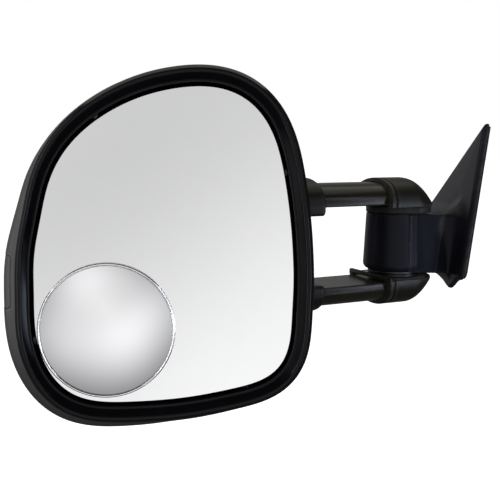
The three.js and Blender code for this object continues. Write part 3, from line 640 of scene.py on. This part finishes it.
def shell_rings(d, lead):
    """Rings of the shell's surface moved in by d, from the seam at the bezel to the middle of the back."""
    base = _sp + _sn * (13.7 - 2.4 - d)
    th = np.arctan2(base[:, 1], base[:, 0])
    r = np.hypot(base[:, 0], base[:, 1])
    # round the outline's flare off so that no corner shows where it starts
    fl = flare(th)
    for _ in range(6):
        fl = 0.25 * np.roll(fl, 1) + 0.5 * fl + 0.25 * np.roll(fl, -1)
    out = []

    def ring(w_nominal, k, t, extra=0.0):
        g = fl * smooth_knots(w_nominal, [3.3, 8, 14, 22, 36, 48, 62, 100], [0, 0.62, 0.9, 1.0, 0.9, 0.7, 0.53, 0.5])
        U, V = base[:, 0] * (1 + (g - extra) / r), base[:, 1] * (1 + (g - extra) / r)
        if t <= 0:
            return np.stack([U, np.full(len(U), w_nominal), V], 1)
        uc, vc = 34 * t * t, -8 * t * t
        U, V = uc + (U - uc) * k, vc + (V - vc) * k
        w = 50 + (98 + 0.333 * U - d - 50) * t
        return np.stack([U, w, V], 1)

    for w, e in lead:
        out.append(ring(w, 1, 0, e))
    for w in np.linspace(5.2, 50, 36):
        out.append(ring(w, 1, 0))
    ks = np.concatenate([1 - 0.03 * np.linspace(0.02, 1, 8) ** 1.5, np.linspace(0.955, 0.34, 34), np.linspace(0.3, 0.03, 8)])
    for k in ks:
        t = (1 - k ** 2.2) ** (1 / 3.6)
        out.append(ring(50 + 50 * t, k, t))
    return np.stack(out)


def shell_mesh(d0, d1):
    """Thin closed wall between the surfaces moved in by d0 and d1, open at the front."""
    a = shell_rings(d0, [(3.3, 0.5), (3.45, 0.15), (3.8, 0.0), (4.4, 0.0)])
    b = shell_rings(d1, [(3.3, -0.3), (3.5, 0.0)])
    rings = np.concatenate([a[::-1], b])
    return loft(rings)


v, f = shell_mesh(0, 2.6)
shell = raw("head_shell_skin", v, f, HED)
bpy.context.view_layer.update()


def dee_prism(a, h, z0, x0, x1, up, lip=2.0, fil=1.2):
    s = dee(a, h, z0, lip, fil, 40)
    v, f = loft(np.stack([ring_x(s, x0), ring_x(s, x1)]))
    return (v, f) if up > 0 else (xf(FLIP, v), f)


def slab_x(outline, x0, x1):
    v, f = loft(np.stack([ring_x(outline, x0), ring_x(outline, x1)]))
    return v, f


# the plug's outline: depth runs along y, height along z in the head frame
def plug_outline(grow):
    return fillet([(6 - grow, -43 - grow), (30 + grow, -43 - grow), (30 + grow, -5 + grow), (6 - grow, -5 + grow)], 3.2 + grow, 7, support=0)


SLEEVE = {1: (26.8, 30.0, 6.0), -1: (29.7, 25.6, 4.4)}     # flat face, height, straight side
tools = [raw(f"t_sleeve{up}", *dee_prism(32.6 + 0.35, SLEEVE[up][1] + 0.7, SLEEVE[up][0] - 0.35, -150.4, -40, up, SLEEVE[up][2], 3.2), ARM) for up in (1, -1)]
tools += [
         raw("t_plug", *slab_x(plug_outline(0.0), -135, -88), HED)]
plug_v, plug_f = shell_mesh(0.25, 2.6)
plug = raw("side_plug_panel", plug_v, plug_f, HED)
t2 = raw("t_plug2", *slab_x(plug_outline(-0.6), -135, -88), HED)
bpy.context.view_layer.update()
for t in tools:
    cut(shell, t)
cut(plug, t2, "INTERSECT")
drop(*tools, t2)
clean(shell, 2e-6)
clean(plug, 2e-6)
dress(shell, "head", MAT["shell_black"], ["head_shell"], 32)
dress(plug, "head", MAT["shell_black"], ["side_blanking_plug"], 32)


# ------------------------------------------------------------------ arms: tubes, sleeves, elbow covers
def tube_piece(name, node, up):
    o = dict(a=25.8, h=19, z0=33.1, lip=0, fil=1.5, n=72)
    i = dict(a=25.8 - 3.4, h=19 - 4.8, z0=33.1 + 2.4, lip=0, fil=1.0, n=72)
    rings = []
    for x in np.linspace(-184.6, -13.2, 24):
        rings.append(ring_x(dee(**o), x))
    rings.append(ring_x(dee(**o, off=0.35), -12.8))
    rings.append(ring_x(dee(**i, off=-0.35), -12.8))
    for x in np.linspace(-13.2, -184.6, 8):
        rings.append(ring_x(dee(**i), x))
    rings.append(ring_x(dee(**i, off=-0.35), -185))
    rings.append(ring_x(dee(**o, off=0.35), -185))
    v, f = torus(np.stack(rings))
    if up < 0:
        v = xf(FLIP, v)
    piece(name, v, f, ARM, "arms", MAT["tube_black"], [node], angle=40)


def sleeve_piece(name, node, up):
    z0, h, lip = SLEEVE[up]
    o = dict(a=32.6, h=h, z0=z0, lip=lip, fil=3.0, n=72)
    bore = dict(a=26.35, h=19.6, z0=32.75, lip=0, fil=1.6, n=72)
    big = dict(a=29.7, h=22.1, z0=32.05, lip=1.2, fil=1.0, n=72)
    rings = [ring_x(dee(**o, off=0.5), -150), ring_x(dee(**o), -149.4)]
    for x in (-140, -130, -120, -112, -104, -98, -95, -93):
        rings.append(ring_x(dee(**o), x))
    for j in range(10):
        q = j / 9 * math.pi / 2
        rings.append(ring_x(dee(**o, off=2.6 * (1 - math.cos(q))), -91.6 + 2.6 * math.sin(q)))
    rings.append(ring_x(dee(**bore, off=-0.7), -89))
    rings.append(ring_x(dee(**bore, off=-0.2), -89.2))
    rings.append(ring_x(dee(**bore), -89.7))
    rings.append(ring_x(dee(**bore), -92))
    rings.append(ring_x(dee(**big), -92.2))
    rings.append(ring_x(dee(**big), -149.6))
    v, f = torus(np.stack(rings))
    if up < 0:
        v = xf(FLIP, v)
    piece(name, v, f, ARM, "head", MAT["cover_black"], [node], angle=40)


def cover_piece(name, node, up):
    """Thin elbow cover: a horseshoe section carried from its mouth over the round end."""
    n_side = 56

    def path(x, a, h, fil, lip, e=0.8):
        """From the base at +y over the top to the base at -y."""
        top = max(lip, fil, 0.02)
        pts = []
        f_ = min(fil, max(a, 0) * 0.5)
        for j in range(5):
            q = (-90 + 22.5 * j) * DEG
            pts.append((a - f_ + f_ * math.cos(q), f_ + f_ * math.sin(q)))
        for j in range(1, n_side):
            t = math.pi * j / n_side
            pts.append((a * math.cos(t), top + (h - top) * math.sin(t) ** e))
        for j in range(5):
            q = (180 + 22.5 * j) * DEG
            pts.append((-a + f_ + f_ * math.cos(q), f_ + f_ * math.sin(q)))
        p = np.array(pts)
        lean = 0.16 * p[:, 1] * max(0.0, (4 - x) / 29.3)      # the mouth leans back towards the crown
        return np.stack([x + lean, p[:, 0], p[:, 1] + 31.0], 1)

    # outer stations: x, half depth, height. A lip at the mouth, a groove, then the body
    o = []
    A, H = 32.0, 24.6
    stations = []
    r = 0.6
    for j in range(5):
        q = j / 4 * math.pi / 2
        stations.append((-25.3 + r * (1 - math.cos(q)), -r + r * math.sin(q)))
    for j in range(5):
        q = j / 4 * math.pi / 2
        stations.append((-22.4 - r + r * math.sin(q), -r + r * math.cos(q)))
    stations += [(-22.3, -0.8), (-22.15, -1.0), (-20.1, -1.0), (-19.95, -0.8)]
    for j in range(5):
        q = j / 4 * math.pi / 2
        stations.append((-19.85 + r * (1 - math.cos(q)), -r + r * math.sin(q)))
    for x in (-18, -16, -14.0, -11, -8, -5, -2, 1, 3):
        stations.append((x, 0.0))
    for x, e in stations:
        o.append((x, A + e, H + e))
    for j in range(0, 41):
        t = j / 40 * math.pi / 2
        o.append((4 + 28.5 * math.sin(t), A * math.cos(t), 0.8 + (H - 0.8) * math.cos(t) ** 2))
    rings = []
    for k, (x, a, h) in enumerate(o):
        e = 0.8
        if x <= 4 and k < len(stations):
            xi = x
            if x < -22.9:
                ai, hi = 26.25, 21.5 + 0.05
            else:
                ai, hi = 29.9, 22.0
        else:
            t = (k - len(stations)) / 40 * math.pi / 2
            xi = 4 + 26.2 * math.sin(t)
            ai, hi = 29.9 * math.cos(t), 0.5 + 21.5 * math.cos(t) ** 2
            e = 0.8 + 1.2 * math.sin(t)
        outer = path(x, a, h, 0.6 if a > 3 else 0.0, min(2.0, 0.6 * h), e)
        inner = path(xi, ai, hi, 0.25 if ai > 3 else 0.0, min(1.2, 0.6 * hi), e)[::-1]
        rings.append(np.vstack([outer, inner]))
    rings = np.stack(rings)
    m, n, _ = rings.shape
    v = rings.reshape(-1, 3)
    f = [grid_quads(m, n, False, True)]
    j = np.arange(n // 2 - 1)
    f.append(np.stack([j + 1, j, n - 1 - j, n - 2 - j], 1))       # the mouth's end face
    if up < 0:
        v = xf(FLIP, v)
        # the lower cover's lip also crosses its flat side
        bar = fillet([(-31.8, 28.2), (31.8, 28.2), (31.8, 31.9), (-31.8, 31.9)], 1.7, 6)
        ends = [(0.55, -25.3), (0.16, -25.14), (0.0, -24.75), (0.0, -22.95), (0.16, -22.56), (0.55, -22.4)]
        mid = np.array([0.0, 30.05])
        bv, bf = loft(np.stack([ring_x(mid + (bar - mid) * (1 - off / np.array([31.8, 1.85])), x) for off, x in ends]))
        k = len(v)
        v = np.vstack([v, xf(FLIP, bv)])
        f = outward(v[:k], f) + [g + k for g in outward(bv, bf)]
        return piece(name, v, f, ARM, "arms", MAT["cover_black"], [node], angle=40, merge=2e-6)
    return piece(name, v, f, ARM, "arms", MAT["cover_black"], [node], angle=40, merge=2e-6)


for side, up in (("upper", 1), ("lower", -1)):
    tube_piece(f"{side}_arm_tube", f"{side}_tube", up)
    sleeve_piece(f"{side}_sleeve", f"{side}_socket_sleeve", up)
    cover_piece(f"{side}_cover", f"{side}_elbow_cover", up)

# discs of the fold joint
for name, node, body, slot, prof, rad in (
        ("detent_disc_fixed", "fixed_detent_ring", "door_mount", "steel", [(8.6, -28.1), (22, -28.1), (22, -25.7), (8.6, -25.7)], 0.35),
        ("detent_disc_moving", "moving_detent_ring", "arms", "steel", [(8.4, -30.8), (22, -30.8), (22, -28.4), (8.4, -28.4)], 0.35),
        ("bush_low", "lower_pivot_bush", "door_mount", "nylon", [(8.35, -25.4), (16.9, -25.4), (16.9, -23.4), (11.9, -23.4), (11.9, -8.4), (8.35, -8.4)], 0.3),
        ("bush_high", "upper_pivot_bush", "door_mount", "nylon", [(8.35, 25), (8.35, 8), (11.9, 8), (11.9, 23), (16.9, 23), (16.9, 25)], 0.3)):
    v, f = lathe(fillet(prof, rad, 3, support=0), 96, "z")
    piece(name, v, f, PIV, body, MAT[slot], [node], angle=35)

# wear plate under the upper cover: round at the barrel, then out to the cover's round end
plan = [(4 + 27.6 * math.cos(a * DEG), 31 * math.sin(a * DEG)) for a in np.linspace(-90, 90, 49)]
plan += [(24.6 * math.cos(a * DEG), 24.6 * math.sin(a * DEG)) for a in np.linspace(104.5, 255.5, 49)[1:-1]]
plan = np.array(plan)
tang = np.roll(plan, -1, 0) - np.roll(plan, 1, 0)
tang /= np.linalg.norm(tang, axis=1)[:, None]
norm = np.stack([tang[:, 1], -tang[:, 0]], 1)
hole = np.stack([np.cos(np.linspace(0, 2 * math.pi, len(plan), endpoint=False)), np.sin(np.linspace(0, 2 * math.pi, len(plan), endpoint=False))], 1)
start = int(np.argmin(np.abs(np.arctan2(plan[:, 1], plan[:, 0]))))
hole = np.roll(hole, start, 0) * 8.4
rings = []
for off, z in ((0.6, 25.4), (0.18, 25.58), (0.0, 26.0), (0.0, 30.2), (0.18, 30.62), (0.6, 30.8)):
    rings.append(np.concatenate([plan - norm * off, np.full((len(plan), 1), z)], 1))
for z in (30.8, 25.4):
    rings.append(np.concatenate([hole, np.full((len(plan), 1), z)], 1))
v, f = torus(np.stack(rings))
piece("wear_plate", v, f, ARM, "arms", MAT["frame_black"], ["upper_wear_disc"], angle=35)

# ------------------------------------------------------------------ mount: barrel, boss and sail as one flowing surface
SAIL = [(-22.7, -35.3, 7), (163, -39.3, 12), (-12.6, 103.3, 1.6)]
TAB = [(-17, -31), (-7, -40.2), (-1, -44.8), (3, -46), (8, -44.9), (19, -41.6), (32, -39.2), (46, -37.6), (50, -32)]
INSERTS = [(-52, -30), (-48, 38), (58, -30)]
COS_T = math.cos(TUMBLE)


def door_yz(p):
    return [(y - 55.0, (z - 8.0) / COS_T) for y, z in p]


def poly_sdf(py, pz, poly):
    """Signed distance to a closed polygon."""
    poly = np.asarray(poly, float)
    n = len(poly)
    best = np.full(np.shape(py), 1e9)
    inside = np.zeros(np.shape(py), bool)
    for i in range(n):
        ax, ay = poly[i]
        bx, by = poly[(i + 1) % n]
        ex, ey = bx - ax, by - ay
        wx, wy = py - ax, pz - ay
        t = np.clip((wx * ex + wy * ey) / (ex * ex + ey * ey), 0, 1)
        best = np.minimum(best, (wx - ex * t) ** 2 + (wy - ey * t) ** 2)
        cond = (ay > pz) != (by > pz)
        with np.errstate(divide="ignore", invalid="ignore"):
            xi = (bx - ax) * (pz - ay) / (by - ay + (by == ay)) + ax
        inside ^= cond & (py < xi)
    d = np.sqrt(best)
    return np.where(inside, -d, d)


def r_union(a, b, r):
    return np.maximum(r, np.minimum(a, b)) - np.hypot(np.maximum(r - a, 0), np.maximum(r - b, 0))


def r_inter(a, b, r):
    return np.minimum(-r, np.maximum(a, b)) + np.hypot(np.maximum(r + a, 0), np.maximum(r + b, 0))


_sail_poly = fillet(door_yz([(y, z) for y, z, _ in SAIL]), [r for _, _, r in SAIL], 14, support=0)
_tab_poly = door_yz(TAB)
_gy = np.arange(-110, 150.01, 0.5)
_gz = np.arange(-80, 125.01, 0.5)
_GY, _GZ = np.meshgrid(_gy, _gz, indexing="ij")
_sail_grid = poly_sdf(_GY, _GZ, _sail_poly)
_tab_grid = poly_sdf(_GY, _GZ, _tab_poly)


def sample(grid, y, z):
    fy = np.clip((y + 110) / 0.5, 0, len(_gy) - 1.001)
    fz = np.clip((z + 80) / 0.5, 0, len(_gz) - 1.001)
    i, j = fy.astype(int), fz.astype(int)
    a, b = fy - i, fz - j
    return ((1 - a) * (1 - b) * grid[i, j] + a * (1 - b) * grid[i + 1, j]
            + (1 - a) * b * grid[i, j + 1] + a * b * grid[i + 1, j + 1])


BOSS = [(7.2, -24.8), (40, -4.4), (66, 11), (90, 27), (118, 45), (118, 110), (90, 92), (66, 84), (40, 52), (2, 24.6), (2, 0)]
_D2P = np.linalg.inv(PIV) @ DOR        # door frame to pivot frame


def mount_sdf(P):
    """P in the door frame: barrel, boss and sail in one."""
    x, y, z = P[:, 0], P[:, 1], P[:, 2]
    Q = xf(_D2P, P)
    X, Y, Z = Q[:, 0], Q[:, 1], Q[:, 2]
    # sail: outline, front face with a slight crown, large rounding at the front edge
    d2 = sample(_sail_grid, y, z)
    crown = 0.8 * np.clip(-d2 / 26, 0, 1) ** 0.7
    face = -x - 6.4 - crown
    sail = r_inter(d2, face, 3.6)
    tab = r_inter(sample(_tab_grid, y, z), -x - 5.6, 2.0)
    sail = r_union(sail, tab, 3.0)
    # boss
    plan = poly_sdf(X, Y, BOSS)
    top = Z - (25 - 0.00178 * np.maximum(X, 0) ** 2)
    bot = -Z - (25.4 + 0.13 * np.maximum(X, 0))
    boss = r_inter(plan, np.maximum(top, bot), 1.8)
    # barrel
    rad = np.hypot(X, Y)
    cone = (rad - (26.6 - 2.4 * (Z + 25.4) / 50.4)) * 0.9989
    barrel = r_inter(cone, Z - 25, 1.2)
    barrel = r_inter(barrel, -Z - 25.4, 5.5)
    # mould parting rib where the barrel runs into the boss
    solid = r_union(barrel, boss, 1.5)
    s = (X - 13.4) * 0.53 + (Y + 20.9) * -0.0
    near = (X - 13.6) * 0.85 + (Y + 20.6) * 0.53
    rib = 0.34 * np.exp(-((near / 0.75) ** 2)) * (Y < 0)
    solid = solid - rib
    blend = 3.0 + 9.5 * np.clip((Z + 26) / 34, 0, 1) ** 1.5 + np.clip((28 - Y) / 24, 0, 1) * (4.0 + 9.0 * np.clip((Z + 26) / 34, 0, 1))
    solid = r_union(solid, sail, blend)
    # behind: the door side is flat, clear of the gasket
    solid = r_inter(solid, x + 1.8, 0.4)
    # bores of the fold shaft and its bushes
    bore = np.minimum(rad - 12.2, np.minimum(np.maximum(rad - 17.25, 22.7 - Z), np.maximum(rad - 17.25, 22.9 + Z + 0.2)))
    bore = np.minimum(bore, np.maximum(rad - 23.6, Z + 25.4))
    bore = np.maximum(bore, -30 - Z)
    solid = np.maximum(solid, -bore)
    for cy, cz in INSERTS:
        solid = np.maximum(solid, -np.maximum(np.hypot(y - cy, z - cz) - 5.8, -4.85 - x))
    return solid


def surface_nets(fun, lo, hi, h):
    n = np.ceil((np.array(hi) - np.array(lo)) / h).astype(int) + 1
    ax = [lo[i] + h * np.arange(n[i]) for i in range(3)]
    F = np.empty(tuple(n), np.float32)
    YY, ZZ = np.meshgrid(ax[1], ax[2], indexing="ij")
    for i in range(n[0]):
        P = np.stack([np.full(YY.size, ax[0][i]), YY.ravel(), ZZ.ravel()], 1)
        F[i] = fun(P).reshape(YY.shape)
    F[np.abs(F) < 1e-5] = 1e-5
    ins = F < 0
    corners = [(a, b, c) for a in (0, 1) for b in (0, 1) for c in (0, 1)]
    sl = lambda a, b, c: (slice(a, n[0] - 1 + a), slice(b, n[1] - 1 + b), slice(c, n[2] - 1 + c))
    cnt = sum(ins[sl(*c)].astype(np.int8) for c in corners)
    cell = np.argwhere((cnt > 0) & (cnt < 8))
    idx = np.full(tuple(n - 1), -1, np.int64)
    idx[tuple(cell.T)] = np.arange(len(cell))
    acc = np.zeros((len(cell), 3))
    num = np.zeros(len(cell))
    for c in corners:
        for axis in range(3):
            if c[axis] == 1:
                continue
            c2 = list(c)
            c2[axis] = 1
            fa = F[tuple((cell + np.array(c)).T)]
            fb = F[tuple((cell + np.array(c2)).T)]
            m = (fa < 0) != (fb < 0)
            t = np.where(m, fa / np.where(m, fa - fb, 1), 0)
            p = np.array(c, float)[None].repeat(len(cell), 0)
            p[:, axis] += t
            acc += p * m[:, None]
            num += m
    V = np.array(lo) + (cell + acc / num[:, None]) * h
    quads = []
    for axis in range(3):
        o = [1, 2, 0][axis], [2, 0, 1][axis]
        a = [slice(None)] * 3
        b = [slice(None)] * 3
        a[axis], b[axis] = slice(0, -1), slice(1, None)
        for k in o:
            a[k] = b[k] = slice(1, n[k] - 1)
        A, B = ins[tuple(a)], ins[tuple(b)]
        e = np.argwhere(A != B)
        flip = A[tuple(e.T)]
        base = e.copy()
        for k in o:
            base[:, k] += 1
        q = []
        for du, dv in ((-1, -1), (0, -1), (0, 0), (-1, 0)):
            g_ = base.copy()
            g_[:, o[0]] += du
            g_[:, o[1]] += dv
            q.append(idx[tuple(g_.T)])
        q = np.stack(q, 1)
        q[~flip] = q[~flip][:, ::-1]
        quads.append(q)
    q = np.concatenate(quads)
    q = q[(q >= 0).all(1)]
    return V, q


def project(fun, V, steps=4, cap=0.8):
    """Newton steps on to the exact surface."""
    e = 0.02
    start = V.copy()
    for _ in range(steps):
        d = fun(V)
        g_ = np.stack([fun(V + np.eye(3)[k] * e) - fun(V - np.eye(3)[k] * e) for k in range(3)], 1) / (2 * e)
        l2 = np.maximum((g_ ** 2).sum(1), 0.25)
        V = V - g_ * (d / l2)[:, None]
        off = V - start
        ln = np.linalg.norm(off, axis=1)
        V = start + off * np.minimum(1, cap / np.maximum(ln, 1e-9))[:, None]
    return V


def halves(V, q, x_cut):
    """The closed surface parted by a plane, each side capped."""
    import bmesh
    out = []
    for keep in (-1, 1):
        me = bpy.data.meshes.new("half")
        me.from_pydata(V.tolist(), [], q.tolist())
        bm = bmesh.new()
        bm.from_mesh(me)
        bmesh.ops.remove_doubles(bm, verts=bm.verts, dist=1e-4)
        bmesh.ops.recalc_face_normals(bm, faces=bm.faces)
        res = bmesh.ops.bisect_plane(bm, geom=bm.verts[:] + bm.edges[:] + bm.faces[:], dist=1e-5, plane_co=(x_cut + keep * 0.01, 0, 0),
                                     plane_no=(1, 0, 0), clear_outer=keep < 0, clear_inner=keep > 0)
        edges = [e for e in res["geom_cut"] if isinstance(e, bmesh.types.BMEdge)]
        bmesh.ops.triangle_fill(bm, edges=edges, use_beauty=False, use_dissolve=False, normal=(-keep, 0, 0))
        bmesh.ops.triangulate(bm, faces=[f for f in bm.faces if len(f.verts) > 4])
        bmesh.ops.recalc_face_normals(bm, faces=bm.faces)
        bm.verts.index_update()
        v = np.array([x.co[:] for x in bm.verts])
        tri = np.array([[x.index for x in f.verts] for f in bm.faces if len(f.verts) == 3])
        quad = np.array([[x.index for x in f.verts] for f in bm.faces if len(f.verts) == 4])
        out.append((v, [g for g in (tri, quad) if len(g)]))
        bm.free()
        bpy.data.meshes.remove(me)
    return out


h = 1.0
V, q = surface_nets(mount_sdf, (-110, -90, -62), (0, 132, 110), h)
V = project(mount_sdf, V, 4, 0.8 * h)
for (v, f), name, node in zip(halves(V, q, -23.0), ("mount_casting", "sail_cover_skin"), ("mount_base", "sail_cover")):
    piece(name, v, f, DOR, "door_mount", MAT["mount_black"], [node], angle=48)

# ------------------------------------------------------------------ stage and light
floor = raw("floor", *loft(np.stack([np.array([(40000 * math.cos(a), 40000 * math.sin(a), z) for a in np.linspace(0, 2 * math.pi, 64, endpoint=False)]) for z in (-480.0, -470.0)])), np.eye(4))
fm = bpy.data.materials.new("pale_floor")
fm.use_nodes = True
nt = fm.node_tree
fb = nt.nodes["Principled BSDF"]
fb.inputs["Base Color"].default_value = (0.86, 0.86, 0.86, 1)
fb.inputs["Roughness"].default_value = 0.9
fb.inputs["Emission Color"].default_value = (1, 1, 1, 1)
fb.inputs["Emission Strength"].default_value = 1.05
floor.data.materials.append(fm)
floor.visible_glossy = False
floor.visible_diffuse = False
floor.visible_shadow = False

world = bpy.data.worlds.new("studio")
bpy.context.scene.world = world
world.use_nodes = True
wt = world.node_tree
wt.nodes.clear()
w_out = wt.nodes.new("ShaderNodeOutputWorld")
w_cam = wt.nodes.new("ShaderNodeBackground")
w_cam.inputs[0].default_value = (1, 1, 1, 1)
w_cam.inputs[1].default_value = 1.0
w_env = wt.nodes.new("ShaderNodeBackground")
w_env.inputs[1].default_value = 1.0
w_mix = wt.nodes.new("ShaderNodeMixShader")
w_path = wt.nodes.new("ShaderNodeLightPath")
w_dir = wt.nodes.new("ShaderNodeTexCoord")
wt.links.new(w_path.outputs["Is Camera Ray"], w_mix.inputs[0])
wt.links.new(w_env.outputs[0], w_mix.inputs[1])
wt.links.new(w_cam.outputs[0], w_mix.inputs[2])
wt.links.new(w_mix.outputs[0], w_out.inputs[0])


def wmath(op, a, b=0.0):
    n = wt.nodes.new("ShaderNodeMath")
    n.operation = op
    for i, x in enumerate((a, b)):
        if isinstance(x, (int, float)):
            n.inputs[i].default_value = x
        else:
            wt.links.new(x, n.inputs[i])
    return n.outputs[0]


def glow(azimuth, elevation, sigma, amount):
    """A soft light patch on the studio walls. Azimuth 0 is behind the camera, 90 towards the door side."""
    a, e = azimuth * DEG, elevation * DEG
    d = (math.sin(a) * math.cos(e), -math.cos(a) * math.cos(e), math.sin(e))
    n = wt.nodes.new("ShaderNodeVectorMath")
    n.operation = "DOT_PRODUCT"
    wt.links.new(w_dir.outputs["Generated"], n.inputs[0])
    n.inputs[1].default_value = d
    k = 1.0 / (sigma * DEG) ** 2
    return wmath("MULTIPLY", wmath("EXPONENT", wmath("MULTIPLY", wmath("SUBTRACT", n.outputs["Value"], 1.0), k)), amount)


AMBIENT = 0.035
GLOWS = [
    # (azimuth, elevation, width, strength) of the soft patches in front of the glass
    (-42.0, -40.0, 12.0, 0.02), (-42.0, -28.0, 12.0, 0.07), (-42.0, -16.0, 12.0, 0.18), (-42.0, -4.0, 12.0, 0.19),
    (-42.0, 8.0, 12.0, 0.06), (-30.0, -40.0, 12.0, 0.06), (-30.0, -28.0, 12.0, 0.13), (-30.0, -16.0, 12.0, 0.27),
    (-30.0, -4.0, 12.0, 0.18), (-30.0, 8.0, 12.0, 0.06), (-30.0, 20.0, 12.0, 0.10), (-30.0, 32.0, 12.0, 0.04),
    (-18.0, -40.0, 12.0, 0.11), (-18.0, -28.0, 12.0, 0.12), (-18.0, -16.0, 12.0, 0.27), (-18.0, -4.0, 12.0, 0.08),
    (-18.0, 8.0, 12.0, 0.19), (-18.0, 20.0, 12.0, 0.44), (-18.0, 32.0, 12.0, 0.15), (-6.0, -40.0, 12.0, 0.15),
    (-6.0, -28.0, 12.0, 0.08), (-6.0, -16.0, 12.0, 0.19), (-6.0, 20.0, 12.0, 0.38), (-6.0, 32.0, 12.0, 0.14),
    (6.0, -40.0, 12.0, 0.14), (6.0, -28.0, 12.0, 0.19), (6.0, -16.0, 12.0, 0.47), (6.0, -4.0, 12.0, 0.20),
    (18.0, -40.0, 12.0, 0.08), (18.0, -28.0, 12.0, 0.11), (18.0, -16.0, 12.0, 0.16), (18.0, -4.0, 12.0, 0.32),
    (18.0, 8.0, 12.0, 0.24), (18.0, 20.0, 12.0, 0.02), (30.0, -40.0, 12.0, 0.03), (30.0, -28.0, 12.0, 0.03),
    (30.0, -16.0, 12.0, 0.03), (30.0, -4.0, 12.0, 0.18), (30.0, 8.0, 12.0, 0.26), (30.0, 20.0, 12.0, 0.10),
    (42.0, -28.0, 12.0, 0.03), (42.0, -16.0, 12.0, 0.08), (42.0, -4.0, 12.0, 0.11), (42.0, 8.0, 12.0, 0.08),
    (42.0, 20.0, 12.0, 0.03),
    # low and wide behind the object, for the grazing flats, and behind to the left for the sail
    (7.0, 18.0, 7.0, 0.14), (180.0, 14.0, 26.0, 0.26), (-152.0, 14.0, 15.0, 0.60),
]
front, total = 0.0, AMBIENT
for gl in GLOWS:
    if abs(gl[0]) < 90:
        front = wmath("ADD", glow(*gl), front)
    else:
        total = wmath("ADD", glow(*gl), total)
# the patches in front are cards that only mirror: matt surfaces get a tenth of them
front = wmath("MULTIPLY", front, wmath("SUBTRACT", 1.0, wmath("MULTIPLY", w_path.outputs["Is Diffuse Ray"], 0.9)))
total = wmath("ADD", front, total)
w_rgb = wt.nodes.new("ShaderNodeCombineColor")
for i in range(3):
    wt.links.new(total, w_rgb.inputs[i])
wt.links.new(w_rgb.outputs[0], w_env.inputs[0])


def panel(name, at, target, sx, sy, power, colour=(1, 1, 1)):
    ld = bpy.data.lights.new(name, "AREA")
    ld.shape, ld.size, ld.size_y, ld.energy, ld.color = "RECTANGLE", sx, sy, power, colour
    lo = bpy.data.objects.new(name, ld)
    lo.location = at
    lo.rotation_mode = "QUATERNION"
    lo.rotation_quaternion = (Vector(target) - Vector(at)).to_track_quat("-Z", "Y")
    bpy.context.scene.collection.objects.link(lo)
    lo.visible_camera = False
    return lo


panel("top_panel", (-0.2, 0.22, 0.93), (-0.2, 0.16, 0.0), 1.5, 1.1, 5.6, (1.0, 0.985, 0.84))
panel("left_panel", (-1.25, -0.15, 0.25), (-0.3, -0.15, 0.0), 0.5, 1.3, 4.6, (1.0, 0.97, 0.96))
panel("right_strip", (0.97, -0.70, -0.13), (-0.04, -0.06, 0.0), 0.42, 0.42, 2.6, (0.66, 0.79, 1.0))
panel("right_line", (0.55, -0.55, 0.0), (-0.17, -0.18, 0.0), 0.05, 1.1, 1.6, (0.86, 0.9, 1.0))
panel("left_strip", (-1.55, -0.8, 0.05), (-0.3, -0.15, 0.0), 0.16, 1.3, 5.5, (0.86, 0.9, 1.0))
panel("low_strip", (-0.27, -0.9, -0.95), (-0.27, -0.19, -0.05), 1.2, 0.14, 1.0, (0.95, 0.97, 1.0))

sc = bpy.context.scene
sc.view_settings.view_transform = "Standard"
sc.view_settings.look = "None"
sc.view_settings.exposure = 0.0
sc.view_settings.gamma = 1.0
